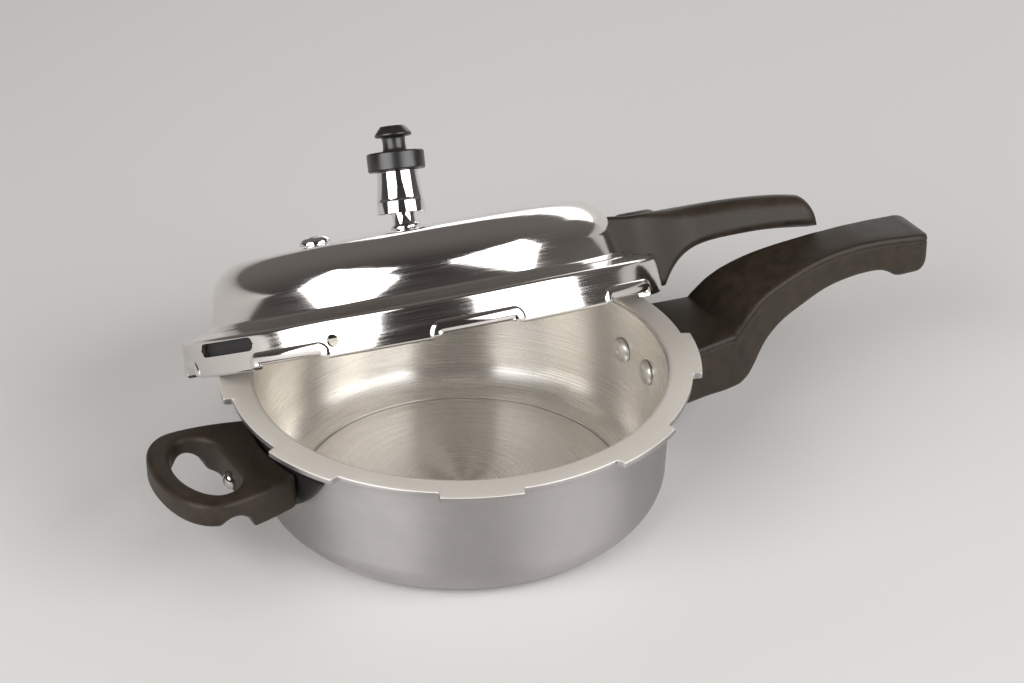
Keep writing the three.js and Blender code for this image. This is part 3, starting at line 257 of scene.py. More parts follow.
def spun_aluminium(name, dark, light, rough, stretch, line, depth, metallic=1.0):
    """Aluminium with fine tool lines round it, in mm, which stretch a highlight across the lines."""
    line_length, cloud_size = 250, 40
    made, tree, shader = new_finish(name, {"Metallic": metallic, "Anisotropic": stretch,
                                           "Anisotropic Rotation": 0.25})
    grain = tool_lines(tree, shader, line_length, line, 5.0)
    blend = add_node(tree, "ShaderNodeMath", {0: grain, 1: speckle(tree, cloud_size, 3.0)},
                     operation="MULTIPLY")
    tint(tree, shader, blend.outputs["Value"], (0.12, 0.4), dark, light)
    wear(tree, shader, grain, (0.3, 0.7), (rough * 0.8, rough * 1.2), grain, depth)
    return made


# Satin outside: tumbled and wiped, so the lines are faint. Inside: spinning marks that fan the light.
# Rim: fresh from the tool and nearly white. Where metallic is under 1, its matt share stands for
# the pale bloom that bare aluminium keeps when it mirrors something dark.
satin_aluminium = spun_aluminium("aluminium, satin spun", "#a9a6a6", "#bab7b6", 0.36, 0.8, 0.16, 0.0008)
bowl_aluminium = spun_aluminium("aluminium, tool-marked inside", "#f8f3eb", "#fdfaf5",
                                0.29, 0.95, 0.35, 0.0006, 0.8)
rim_aluminium = spun_aluminium("aluminium, machined rim", "#ece5db", "#f6f0e7", 0.5, 0.5, 0.3, 0.002, 0.4)

foot = bore - draft
draft_top = pan_height - rim_thick - rim_fillet
ring = foot - (base_round - wall)
outside = [(0, 0), (40, 0)] + arc(foot + wall - base_round, base_round, base_round, -90, 0, 20)
outside += [(foot + wall + draft * k, base_round + (draft_top - base_round) * k) for k in (0.33, 0.67)]
outside += arc(bore + wall + rim_fillet, draft_top, rim_fillet, 180, 90, 8)
edge = arc(-edge_round, pan_height - rim_thick + edge_round, edge_round, -90, 0, 4)
edge += arc(-edge_round, pan_height - edge_round, edge_round, 0, 90, 4)
inside = [(bore + mouth_round + 4, pan_height)]
inside += arc(bore + mouth_round, pan_height - mouth_round, mouth_round, 90, 180, 10)
inside += [(foot + draft * k, base_round + (draft_top - base_round) * k) for k in (0.67, 0.33)]
inside += arc(ring, floor_thick + base_round - wall, base_round - wall, 0, -82, 18)
inside += [(ring + 0.9, floor_thick + 0.1), (ring + 0.2, floor_thick - groove_deep),
           (ring - 0.7, floor_thick - groove_deep), (ring - 1.3, floor_thick)]
inside += [(r, floor_thick) for r in (60, 35, 12, 0)]

lug_pitch = 360 / lug_count
lug_middle = lug_pitch / 2
gap_end, lug_start = (lug_middle - lug_half + side * lug_slope / 2 for side in (-1, 1))
lug_end, gap_start = (lug_middle + lug_half + side * lug_slope / 2 for side in (-1, 1))
sector = np.concatenate([np.linspace(start, end, count, endpoint=False) for start, end, count in (
    (gap_start - lug_pitch, gap_end, 24), (gap_end, lug_start, 7),
    (lug_start, lug_end, 24), (lug_end, gap_start, 7))])
pan_degrees = np.concatenate([sector + lug_pitch * i for i in range(lug_count)])
from_lug = np.abs((pan_degrees % lug_pitch) - lug_middle)
lug = 1 - np.clip((from_lug - (lug_half - lug_slope / 2)) / lug_slope, 0, 1)
rim_edge = gap_edge + (lug_edge - gap_edge) * lug * lug * (3 - 2 * lug)
pan_rows = [ring_row(r, z, len(pan_degrees)) for r, z in outside]
pan_rows += [ring_row(rim_edge + r, z, len(pan_degrees)) for r, z in edge]
pan_rows += [ring_row(r, z, len(pan_degrees)) for r, z in inside]
pan_turns = np.append(pan_degrees, pan_degrees[0] + 360) / 360
pan_mesh = skin("pan_body", round_grid(pan_rows, pan_degrees), turns=pan_turns)
for finish in (satin_aluminium, rim_aluminium, bowl_aluminium):
    pan_mesh.materials.append(finish)
satin_index, rim_index, bowl_index = 0, 1, 2
for face in pan_mesh.polygons:
    out_by = math.hypot(face.center.x, face.center.y)
    faces_in = face.normal.x * face.center.x + face.normal.y * face.center.y < 0.2
    if face.center.z > pan_height - rim_thick - 0.5 and out_by > bore + 1.2:
        face.material_index = rim_index if face.normal.z > 0.4 else satin_index
    elif faces_in and face.center.z > floor_thick - groove_deep:
        face.material_index = bowl_index if out_by < bore + 2 else satin_index


def dress(piece, body, slot, *nodes):
    """Lets a piece stand for CAD nodes, hiding them, and move with their body; the slot is not used."""
    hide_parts(*nodes)
    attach(piece, body)


def fit(name, mesh, finish, place, body, slot, *nodes):
    """Gives a mesh in mm its finish, if it has none yet, and its place, and dresses it."""
    if finish is not None:
        mesh.materials.append(finish)
    mesh.transform(place)
    dress(shown(name, mesh), body, slot, *nodes)


fit("pan_bowl", pan_mesh, None, MM, "pan", "satin_aluminium", "pan_body")

# Rivets. Solid aluminium, set through the wall in pairs, so a domed head shows inside the pan
# and a flatter closing head sits on the bracket outside.
rivet_shank, rivet_head, rivet_dome, rivet_seat, plate = 2.5, 6.5, 2.6, 0.6, 2.0
rivet_aside = 12.6
rivet_step = 2 * math.degrees(math.asin(rivet_aside / bore))
pan_tilt = math.atan2(draft, draft_top - base_round)
pan_rivet_height, helper_rivet_height = 45.5, 43.0


def repeat_round(name, mesh, finish, count, first, step):
    """Repeats a mesh round the upright axis with Geometry Nodes, as one plain mesh."""
    tree = bpy.data.node_groups.new("repeat round", "GeometryNodeTree")
    sockets = tree.interface
    sockets.new_socket("Piece", in_out="INPUT", socket_type="NodeSocketGeometry")
    wanted = {}
    for label, kind, value in (("Count", "NodeSocketInt", count),
                               ("First angle", "NodeSocketFloat", math.radians(first)),
                               ("Step angle", "NodeSocketFloat", math.radians(step)),
                               ("Finish", "NodeSocketMaterial", finish)):
        wanted[sockets.new_socket(label, in_out="INPUT", socket_type=kind).identifier] = value
    sockets.new_socket("Pieces", in_out="OUTPUT", socket_type="NodeSocketGeometry")
    given = add_node(tree, "NodeGroupInput")
    spots = add_node(tree, "GeometryNodePoints", {"Count": given.outputs["Count"]})
    number = add_node(tree, "GeometryNodeInputIndex")
    angle = add_node(tree, "ShaderNodeMath",
                     {0: number.outputs["Index"], 1: given.outputs["Step angle"],
                      2: given.outputs["First angle"]}, operation="MULTIPLY_ADD")
    facing = add_node(tree, "ShaderNodeCombineXYZ", {"Z": angle.outputs["Value"]})
    copies = add_node(tree, "GeometryNodeInstanceOnPoints",
                      {"Points": spots.outputs["Points"], "Instance": given.outputs["Piece"],
                       "Rotation": facing.outputs["Vector"]})
    real = add_node(tree, "GeometryNodeRealizeInstances", {"Geometry": copies.outputs["Instances"]})
    coat = add_node(tree, "GeometryNodeSetMaterial",
                    {"Geometry": real.outputs["Geometry"], "Material": given.outputs["Finish"]})
    add_node(tree, "NodeGroupOutput", {"Pieces": coat.outputs["Geometry"]})
    holder = shown(name + "_source", mesh)
    maker = holder.modifiers.new("repeat round", "NODES")
    maker.node_group = tree
    for identifier, value in wanted.items():
        maker[identifier] = value
    made = bpy.data.meshes.new_from_object(holder.evaluated_get(bpy.context.evaluated_depsgraph_get()))
    made.name = name
    holder.modifiers.remove(maker)
    bpy.data.objects.remove(holder)
    bpy.data.meshes.remove(mesh)
    return made


def rivet_pair(name, thick, seat, height, tilt, first):
    """Two rivets with dimpled heads, either side of an azimuth; the wall's outer face is at the seat."""
    inner, outer = -thick - rivet_seat, rivet_seat + plate
    top, closing = inner - rivet_dome, (rivet_shank + rivet_head) / 2
    profile = [(0, top + 0.7), (0.8, top + 0.5), (1.5, top + 0.15)]
    profile += [(rivet_head * math.sin(a), inner - rivet_dome * math.cos(a))
                for a in np.linspace(0.36, math.pi / 2, 8)]
    profile += [(rivet_shank, inner), (rivet_shank, outer), (closing, outer), (closing, outer + 0.9)]
    profile += [(closing - 0.5, outer + 1.4), (0, outer + 1.6)]
    one = turned(name, profile, 32)
    one.transform(Matrix.Translation((seat, 0, height)) @ Matrix.Rotation(tilt + math.pi / 2, 4, "Y"))
    return repeat_round(name + "s", one, rivet_aluminium, 2, first - rivet_step / 2, rivet_step)


# Drawn aluminium wire: bright where the rivet set burnished it, with a fine grey bloom.
rivet_aluminium = spun_aluminium("aluminium, set rivet", "#dedcd6", "#f0eee9", 0.36, 0.2, 0.6, 0.002, 0.8)
for name, height, first in (("pan_handle_rivet", pan_rivet_height, 0),
                            ("helper_rivet", helper_rivet_height, 180)):
    seat = foot + wall + draft * (height - base_round) / (draft_top - base_round)
    pair = rivet_pair(name, wall, seat, height, pan_tilt, first)
    fit(name + "s", pair, None, MM, "pan", "polished_aluminium", name + "_1", name + "_2")

# Pan handle. Compression-moulded bakelite: a deep saddle against the wall, a swept step up and
# a slim grip with a finger stop, its flat top meeting the sides in a crisp rolled edge.
saddle_start, saddle_end, tip, tip_round, seat_gap = 99.0, 142.6, 266.4, 6.0, 0.3


def share(x, start, end):
    """Straight rise from 0 to 1."""
    return min(max((x - start) / (end - start), 0), 1)


def ease(x, start, end):
    """Smooth rise from 0 to 1."""
    t = share(x, start, end)
    return t * t * (3 - 2 * t)


def tip_turn(x, end, radius):
    """How far a quarter round that ends at the tip has turned in."""
    return 1 - math.sqrt(max(0, 1 - share(x, end - radius, end) ** 2))


def tip_stations(end, radius, degrees):
    """Stations along a quarter round that ends at the tip."""
    return [end - radius + radius * math.sin(a) for a in np.radians(degrees)]


def rounded_section(half, low, high, top_round, low_round, steps, seam=0.0, side=3):
    """A rounded box across and up; a seam pinches in below the top edge."""
    limit = min(half, (high - low) / 2) * 0.97
    a, b = min(top_round, limit), min(low_round, limit)
    groove = high - a - 0.9
    right_side = arc(half - b, low + b, b, -90, 0, steps)
    right_side += [(half, low + b + (groove - 0.8 - low - b) * k / (side + 1)) for k in range(1, side + 1)]
    if seam:
        right_side += [(half, groove - 0.7), (half - seam, groove - 0.25),
                       (half - seam, groove + 0.25), (half, groove + 0.7)]
    right_side += arc(half - a, high - a, a, 0, 90, steps)
    points = [(0.0, low), ((half - b) / 2, low)] + right_side + [((half - a) / 2, high), (0.0, high)]
    return points + [(-y, z) for y, z in reversed(points[1:-1])]


def seated(section, x, side):
    """Points of a section at x, kept outside a round wall whose radius depends on the height."""
    return [(max(x, math.sqrt(max(side(z) ** 2 - y * y, 0))), y, z) for y, z in section]


def capped(rings):
    """Closes a loft: each end gets a ring that is drawn together in its middle."""
    first, last = ([tuple(np.mean(rings[end], axis=0))] * len(rings[0]) for end in (0, -1))
    return np.array([first] + rings + [last])


def line_through(points, x):
    """Value at x on a smooth line that keeps to each rise and fall between its points."""
    run, value = np.array(points, float).T
    step = np.diff(value) / np.diff(run)
    bend = step[1:] * step[:-1]
    inner_slope = np.where(bend > 0, 2 * bend / (step[1:] + step[:-1] + 1e-12), 0)
    slope = np.concatenate([step[:1], inner_slope, step[-1:]])
    i = min(max(np.searchsorted(run, x) - 1, 0), len(step) - 1)
    gap = run[i + 1] - run[i]
    t = (x - run[i]) / gap
    return (value[i] * (1 + 2 * t) * (1 - t) ** 2 + value[i + 1] * t * t * (3 - 2 * t)
            + gap * (slope[i] * t * (1 - t) ** 2 - slope[i + 1] * t * t * (1 - t)))


def bakelite_finish(name, dark, light, gloss, smooth, matt):
    """Moulded bakelite: wood-flour filler mottles it, and handling leaves it more or less matt."""
    mottle_size, fleck_size, fleck_depth = 7, 0.9, 0.03
    made, tree, shader = new_finish(name, {"IOR": 1.55, "Specular IOR Level": gloss})
    mottle = speckle(tree, mottle_size, 6.0, 0.65)
    tint(tree, shader, mottle, (0.32, 0.68), dark, light)
    wear(tree, shader, mottle, (0.3, 0.7), (smooth, matt), speckle(tree, fleck_size, 2.0), fleck_depth)
    return made


# Handle bakelite: dark brown, its gloss worn off, so it shows broad soft sheens and faint clouds.
bakelite = bakelite_finish("bakelite, moulded dark brown", "#282119", "#3c3227", 0.3, 0.4, 0.56)
handle_top = [(saddle_start, 60), (saddle_end, 60), (143.4, 60.9), (148, 65.2), (152, 69), (156, 72),
              (160, 74.4), (168, 77.6), (180, 80.7), (196, 83.4), (212, 84.7), (224, 84.8), (240, 83.9),
              (252, 82.6), (tip, 81)]
handle_low = [(saddle_start, 28.5), (127, 28.3), (139, 27.4), (146.5, 27.7), (152.7, 30.2), (157.1, 35.4),
              (160, 40.2), (163, 44.4), (167, 48.7), (172.7, 53.1), (178.3, 55.9), (184, 57.8), (190, 59.5),
              (196, 61.3), (203, 63.3), (210, 64.6), (217, 65.3), (225, 65.7), (232, 65.6), (238, 65),
              (241.4, 64), (244.3, 62.6), (249.4, 59.4), (252, 59), (tip, 59)]
handle_half = [(saddle_start, 28), (102.6, 28), (saddle_end, 23.6), (148, 22.9), (156, 21), (164, 19.3),
               (172, 18.1), (180, 16.9), (188, 15.5), (196, 14.2), (204, 13.3), (212, 12.7), (224, 12.3),
               (236, 12.5), (252, 13.4), (tip, 14.2)]


def pan_side(z):
    """Outer radius of the pan's wall at a height, with the seat's gap."""
    return foot + wall + draft * share(z, base_round, draft_top) + seat_gap


handle_rings = []
for x in np.concatenate([np.linspace(saddle_start, saddle_end, 26),
                         np.linspace(saddle_end + 0.25, tip - tip_round, 90),
                         tip_stations(tip, tip_round, [*range(10, 90, 10), 87])]):
    inward = tip_turn(x, tip, tip_round)
    half = line_through(handle_half, x) - 3 * inward
    low = line_through(handle_low, x) + tip_round * inward
    high = line_through(handle_top, x) - 1.2 * inward
    handle_rings.append(seated(rounded_section(half, low, high, 2.4, 5.0, 7, seam=0.45), x, pan_side))
fit("pan_handle_moulding", skin("pan_handle", capped(handle_rings), sharp=40), bakelite, MM,
    "pan", "bakelite", "pan_handle")

# Helper bracket. A thin near-black plate, riveted to the wall; its rounded ears make the dark patches on both
# sides of the helper handle's root.
ear_half, ear_top, ear_low, ear_rows = 42.0, 55.5, 31.0, 9


def bezier(points, steps):
    """Points of a cubic curve, without its last one."""
    t = np.linspace(0, 1, steps, endpoint=False)[:, None]
    p = np.array(points, float)
    return (1 - t) ** 3 * p[0] + 3 * t * (1 - t) ** 2 * p[1] + 3 * t * t * (1 - t) * p[2] + t ** 3 * p[3]


def flat_finish(name, dark, light, rough, metallic, grain, depth):
    """A plain finish with a fine even grain, given in mm."""
    made, tree, shader = new_finish(name, {"Metallic": metallic})
    speck = speckle(tree, grain, 3.0)
    tint(tree, shader, speck, (0, 1), dark, light)
    wear(tree, shader, speck, (0, 1), (rough * 0.8, rough * 1.2), speck, depth)
    return made


# Near-black plate finish with a soft half-gloss.
near_black_plate_finish = flat_finish("near black plate finish", "#1c1a19", "#2a2725", 0.4, 0.0, 1.2, 0.02)
ear_line = bezier([(-ear_half, ear_top), (-0.7 * ear_half, ear_low + 4.9), (-ear_half / 2, ear_low),
                   (0, ear_low)], 40)
drop = np.concatenate([ear_line, [(0, ear_low)], ear_line[::-1] * (-1, 1)])
across = len(drop)
sheet_points, sheet_faces = [], []
for depth_out in (0, plate):
    for t in np.linspace(0, 1, ear_rows):
        for y, low in drop:
            z = low + (ear_top - low) * t
            sheet_points.append((math.sqrt((pan_side(z) + depth_out) ** 2 - y * y), y, z))
layer_size = across * ear_rows
for layer in (0, 1):
    for row in range(ear_rows - 1):
        for i in range(across - 1):
            a = layer * layer_size + row * across + i
            quad = (a, a + 1, a + across + 1, a + across)
            sheet_faces.append(quad if layer else quad[::-1])
border = [*range(across), *range(layer_size - 1, layer_size - across - 1, -1)]
for a, b in zip(border, border[1:] + border[:1]):
    sheet_faces.append((a, b, b + layer_size, a + layer_size))
bracket_mesh = bpy.data.meshes.new("helper_bracket")
bracket_mesh.from_pydata(sheet_points, [], sheet_faces)
close_up(bracket_mesh, 40)
FAR_SIDE = MM @ Matrix.Rotation(math.pi, 4, "Z")
fit("helper_bracket_plate", bracket_mesh, near_black_plate_finish, FAR_SIDE, "pan", "painted_steel", "helper_bracket")

# Helper handle. A bakelite loop moulded in one with a deep root block, hollowed in an arch
# under each bar where the block ends.
loop_top, loop_end, loop_half, loop_bar, loop_bend = 55.3, 160.6, 36.0, 10.0, 138.6
root_half, block_low, hole_start, loop_low = 28.5, 37.0, 123.6, 42.7
arch_start, arch_radius, arch_rise = 126.93, 9.0, 37.0
loop_edge, corner_turn = 2.8, 2.8
root_face = bore + wall + 2.6
root_x = math.sqrt(root_face ** 2 - root_half ** 2)
hole_half, hole_end = loop_half - loop_bar, loop_end - loop_bar
centre_x = (hole_start + hole_end) / 2

side_line = bezier([(loop_bend, loop_half), (127, loop_half), (114, root_half + 4.5),
                    (root_x, root_half)], 60)
before = side_line[side_line[:, 0] > root_x + corner_turn]
after = np.array([(math.sqrt(root_face ** 2 - y * y), y)
                  for y in np.linspace(root_half - corner_turn, 0.0, 30)])
corner = np.array((root_x, root_half))
turn_in = np.array([(1 - t) ** 2 * before[-1] + 2 * t * (1 - t) * corner + t * t * after[0]
                    for t in np.linspace(0.08, 0.92, 12)])
half_outline = np.concatenate([
    bezier([(loop_end, 0), (loop_end, 0.55 * loop_half), (loop_end - 7, loop_half),
            (loop_bend, loop_half)], 60),
    before, turn_in, after])
round_in = hole_half / 2
hole_bend = hole_start + round_in
half_hole = np.concatenate([
    bezier([(hole_end, 0), (hole_end, 0.55 * hole_half), (hole_end - 7, hole_half),
            (hole_bend, hole_half)], 60),
    bezier([(hole_bend, hole_half), (hole_start + round_in / 3, hole_half),
            (hole_start, hole_half - round_in / 3 * 2), (hole_start, hole_half - round_in)], 24),
    [(hole_start, y) for y in np.linspace(hole_half - round_in, 0.0, 14)]])


def by_angle(half_line, angles):
    """Points where rays from the hole's centre meet a line and its mirror image."""
    line = np.concatenate([half_line, (half_line * (1, -1))[::-1]])
    seen = np.unwrap(np.arctan2(line[:, 1], line[:, 0] - centre_x))
    order = np.argsort(seen)
    return np.stack([np.interp(angles, seen[order], line[order, i], period=2 * math.pi) for i in (0, 1)], -1)


def pulled(line, amount):
    """An outline moved square to itself, inwards where the amount is positive."""
    along = np.roll(line, -1, 0) - np.roll(line, 1, 0)
    along /= np.linalg.norm(along, axis=1)[:, None]
    return line + np.stack([-along[:, 1], along[:, 0]], -1) * amount


def underside(line):
    """Height of the handle's underside: block, arch, then the thinner loop, with soft corners."""
    reach = np.linspace(95, 170, 751)
    arch = arch_rise + np.sqrt(np.clip(arch_radius ** 2 - (reach - arch_start - arch_radius) ** 2, 0, None))
    low = np.where(reach < arch_start + 2 * arch_radius, np.maximum(arch, loop_low), loop_low)
    low = np.where(reach < arch_start, block_low, low)
    soft = np.hanning(41)
    return np.interp(line[:, 0], reach, np.convolve(np.pad(low, 20, mode="edge"), soft / soft.sum(), "valid"))


ray = np.linspace(0, 2 * math.pi, 480, endpoint=False)
outline, opening = by_angle(half_outline, ray), by_angle(half_hole, ray)
loop_rows = []


def add_edge(line, pull, degrees, upper):
    """Adds rows round an edge of the loop, which turns to the solid's side of its outline."""
    for a in np.radians(degrees):
        moved = pulled(line, pull * (1 - math.cos(a)))
        drop_in = loop_edge * (1 - math.sin(a))
        loop_rows.append(np.column_stack([moved, np.full(len(ray), loop_top - drop_in) if upper
                                          else underside(moved) + drop_in]))


hole_rim, outer_rim = pulled(opening, -loop_edge), pulled(outline, loop_edge)
add_edge(opening, -loop_edge, np.linspace(0, 90, 7), True)
for k in (0.25, 0.5, 0.75):
    loop_rows.append(np.column_stack([hole_rim * (1 - k) + outer_rim * k, np.full(len(ray), loop_top)]))
add_edge(outline, loop_edge, np.linspace(90, 0, 8), True)
add_edge(outline, loop_edge, np.linspace(0, 90, 8), False)
for k in np.linspace(0.06, 0.94, 12):
    flat_line = outer_rim * (1 - k) + hole_rim * k
    loop_rows.append(np.column_stack([flat_line, underside(flat_line)]))
add_edge(opening, -loop_edge, np.linspace(90, 0, 7), False)
loop_rows.append(loop_rows[0])
fit("helper_handle_moulding", skin("helper_handle", np.array(loop_rows), sharp=46), bakelite, FAR_SIDE,
    "pan", "bakelite", "helper_handle")

# Handle screws. Nickel-plated steel with a slotted domed head: one inside the helper's loop,
# one up from under the pan handle, one down through the boss of the lid handle.
screw_head, screw_dome, screw_shank, slot_wide, slot_deep = 4.3, 3.0, 2.3, 1.1, 1.1
helper_screw_length, helper_screw_height = 20.4, 43.0
pan_screw_length, pan_screw_x, pan_screw_seat = 9.5, 125.4, 36.0


def screw(name, length):
    """A screw standing on its head, with its slot, the head's seat at 0."""
    profile = [(screw_head * math.sin(a), -screw_dome * math.cos(a)) for a in np.linspace(0, math.pi / 2, 12)]
    profile += [(screw_shank, 0), (screw_shank, length - 1), (screw_shank - 1, length), (0, length)]
    blank = shown("screw_blank", turned(name, profile, 48))
    cutter_mesh = bpy.data.meshes.new("slot")
    work = bmesh.new()
    bmesh.ops.create_cube(work, size=1, matrix=Matrix.Translation((0, 0, -screw_dome))
                          @ Matrix.Diagonal((screw_head * 3, slot_wide, slot_deep * 2, 1)))
    work.to_mesh(cutter_mesh)
    work.free()
    cutter = shown("slot_cutter", cutter_mesh)
    slot = blank.modifiers.new("slot", "BOOLEAN")
    slot.operation = "DIFFERENCE"
    slot.solver = "EXACT"
    slot.object = cutter
    cut = bpy.data.meshes.new_from_object(blank.evaluated_get(bpy.context.evaluated_depsgraph_get()))
    for thing in (cutter, blank):
        bpy.data.objects.remove(thing)
    cut.name = name
    cut.shade_smooth()
    cut.set_sharp_from_angle(angle=math.radians(38))
    return cut


# Nickel plate: a little warmer and softer than chrome.
plated_steel = flat_finish("steel, nickel plated", "#b3afa8", "#cbc7c0", 0.16, 1.0, 0.8, 0.004)
fit("helper_screw_plated", screw("helper_screw", helper_screw_length), plated_steel,
    FAR_SIDE @ Matrix.Translation((hole_start + seat_gap, 0, helper_screw_height))
    @ Matrix.Rotation(-math.pi / 2, 4, "Y"), "pan", "steel", "helper_screw")
fit("pan_handle_screw_plated", screw("pan_handle_screw", pan_screw_length), plated_steel,
    MM @ Matrix.Translation((pan_screw_x, 0, pan_screw_seat)), "pan", "steel", "pan_handle_screw")

# Gasket. A black rubber ring moulded with two sealing lips round a groove; it sits in the
# corner of the lid's skirt and shows through the window there.
lid_wall, skirt_in, skirt_out, skirt_height = 2.4, 118.5, 120.9, 20.0
lean, lean_azimuth, lid_spin = 30.15, 82.6, -92.4
seal_out, seal_top, seal_depth, seal_width = skirt_in - 0.5, 17.3, 8.5, 11.0
lid_joint = next(j for j in frame["joints"] if j["name"] == "lid_turn")
LID = (Matrix.Translation(lid_joint["pos_m"]) @ Matrix.Rotation(math.radians(lean_azimuth), 4, "Z")
       @ Matrix.Rotation(math.radians(lean), 4, "Y") @ Matrix.Rotation(math.radians(lid_spin), 4, "Z") @ MM)
# Moulded rubber: matt and nearly black, with a faint bloom.
black_rubber = flat_finish("rubber, black moulded", "#141313", "#1f1d1c", 0.55, 0.0, 0.7, 0.02)
seal_in, seal_half = seal_out - seal_width, seal_depth / 2
upper_lip = [(seal_out, seal_half - 1), (seal_out - 1, seal_half), (seal_in + 0.4, seal_half),
             (seal_in, seal_half - 0.4), (seal_in, seal_half - 1.6), (seal_in + 0.4, seal_half - 2),
             (seal_in + 5.2, 0.8), (seal_in + 6, 0)]
lower_lip = [(seal_in + 5.2, -0.8), (seal_in + 0.4, 2 - seal_half), (seal_in, 1.6 - seal_half),
             (seal_in, 0.4 - seal_half), (seal_in + 0.4, -seal_half), (seal_out - 0.8, -seal_half),
             (seal_out, 0.8 - seal_half)]
seal_line = [(r, seal_top - seal_half + z) for r, z in upper_lip + lower_lip + upper_lip[:1]]
fit("gasket_ring", turned("gasket", seal_line, 256), black_rubber, LID, "gasket", "black_rubber", "gasket")

# Lid shell. Drawn from aluminium sheet and mirror-polished: dome, stepped ring and a skirt with
# inward bayonet lips between eight arched notches; a window and a small hole pierce the skirt.
dome_radius, dome_foot, dome_height, dome_corner, dome_crown = 102.0, 104.4, 54.4, 20.0, 1.9
corner_height, step_height, vent_hole, wall_top = 32.5, 22.4, 4.85, 16.4
lip_radius, lip_thick, skirt_bend, shoulder, lip_edge = 114.8, 3.0, 1.6, 3.2, 0.6
notch_half, notch_height, notch_round, notch_turn, notch_edge = 21.62, 7.0, 4.4, -1.7, 1.2
window_half, window_height, window_middle, window_azimuth = 22.0, 3.3, 13.0, -156.3
spy_radius, spy_middle, spy_azimuth, spy_zone = 3.0, 7.9, -124.6, 8.0
spy_columns, spy_inside, spy_outside = (3, 26, 19), 1.44, 1.52
open_columns, lip_columns = 54, sum(spy_columns)
flat_rim = dome_radius - dome_corner
skirt_mean = (skirt_in + skirt_out) / 2


def crown(r):
    """Height of the dome's top at a radius."""
    return dome_height - dome_crown * (r / flat_rim) ** 2


over = [(r, crown(r)) for r in np.concatenate([[vent_hole], np.linspace(10, flat_rim - 4, 12)])]
over += arc(flat_rim, corner_height, dome_corner, 88, 0, 26)
over += [(dome_foot + r, step_height + z) for r, z in (
    (-0.35, 1.2), (-0.1, 0.45), (0.5, 0.05), (0.9, -0.1), (1.2, -0.2),
    (4.2, -1.17), (4.5, -1.27), (4.7, -1.7), (4.9, -1.75), (5.3, -1.85))]
over += [(skirt_out - 2.4, 18.5), (skirt_out - 1.9, 18.4)] + arc(skirt_out - 2, wall_top, 2, 76.5, 0, 10)
under = arc(skirt_in - 0.8, skirt_height - shoulder, 0.8, 0, 90, 4)
under += [(dome_foot + 2, skirt_height - lid_wall), (dome_foot + 1, step_height - lid_wall),
          (dome_foot - 2.4, step_height - lid_wall)]
under += arc(flat_rim, corner_height, dome_corner - lid_wall, 0, 88, 14)
under += [(r, crown(r) - lid_wall) for r in np.concatenate([np.linspace(flat_rim - 4, 10, 6), [vent_hole]])]

half_angle = math.degrees(notch_half / skirt_mean)
open_part = np.linspace(-half_angle, half_angle, open_columns)
lip_part = np.linspace(half_angle, lug_pitch - half_angle, lip_columns)
spy_sector, spy_turn = divmod((spy_azimuth - notch_turn) % 360, lug_pitch)
spy_part = np.concatenate([np.linspace(half_angle, spy_turn - spy_outside, spy_columns[0]),
                           np.linspace(spy_turn - spy_inside, spy_turn + spy_inside, spy_columns[1]),
                           np.linspace(spy_turn + spy_outside, lug_pitch - half_angle, spy_columns[2])])
lid_degrees = np.concatenate([
    np.concatenate([open_part, spy_part if i == spy_sector else lip_part]) + lug_pitch * i + notch_turn
    for i in range(lug_count)])
is_notch = np.tile(np.arange(open_columns + lip_columns) < open_columns, lug_count)
columns = len(lid_degrees)
from_notch = np.radians(np.abs((lid_degrees - notch_turn + lug_middle) % lug_pitch - lug_middle)) * skirt_mean
notch_bend = np.clip(from_notch - (notch_half - notch_round), 0, notch_round)
notch_arch = notch_height - notch_round + np.sqrt(np.clip(notch_round ** 2 - notch_bend ** 2, 0, None))
skirt_low = np.where(is_notch, notch_arch, 0.0)


def from_azimuth(azimuth):
    """Distance round the skirt from an azimuth, in mm."""
    return np.radians(np.abs((lid_degrees - azimuth + 180) % 360 - 180)) * skirt_out


end_in = np.clip(from_azimuth(window_azimuth) - (window_half - window_height), 0, None)
slit = np.sqrt(np.clip(window_height ** 2 - end_in ** 2, 0, None))
spy = np.sqrt(np.clip(spy_radius ** 2 - from_azimuth(spy_azimuth) ** 2, 0, None))
half_gap = np.where(slit > 0, slit, spy)
near_spy = from_azimuth(spy_azimuth) < spy_zone
gap_middle = np.where(near_spy, spy_middle, window_middle)
gap_high, gap_low = gap_middle + half_gap, gap_middle - half_gap
pierced = half_gap > 0

lip_foot = arc(skirt_out - skirt_bend, skirt_bend, skirt_bend, 0, -90, 5)
lip_foot += [(lip_radius + lip_edge, 0), (lip_radius + 0.15, 0.15), (lip_radius, lip_edge)]
lip_foot += [(lip_radius, lip_thick - lip_edge), (lip_radius + 0.15, lip_thick - 0.15)]
lip_foot += [(lip_radius + lip_edge, lip_thick), (skirt_in - lip_edge, lip_thick)]
lip_foot += [(skirt_in, lip_thick + lip_edge)]
notch_foot = arc(skirt_mean, notch_edge, notch_edge, 0, -180, len(lip_foot) - 1)
lid_rows = [ring_row(r, z, columns) for r, z in over]
lid_rows.append(ring_row(skirt_out, (wall_top + gap_high) / 2, columns))
outer_top = len(lid_rows)
lid_rows += [ring_row(skirt_out, z, columns) for z in (gap_high, gap_low)]
foot_top = np.where(is_notch, skirt_low + notch_edge, skirt_bend)
for k in (0.3, 0.6, 0.85):
    above_arch = window_middle + (notch_height + 1.6 - window_middle) * k / 0.85
    beside_gap = gap_low + (foot_top - gap_low) * k
    lid_rows.append(ring_row(skirt_out, np.where(pierced | near_spy, beside_gap, above_arch), columns))
for (lip_r, lip_z), (notch_r, notch_z) in zip(lip_foot, notch_foot):
    lid_rows.append(ring_row(np.where(is_notch, notch_r, lip_r),
                             np.where(is_notch, skirt_low + notch_z, lip_z), columns))
inner_foot = np.where(is_notch, skirt_low + notch_edge, lip_thick + lip_edge)
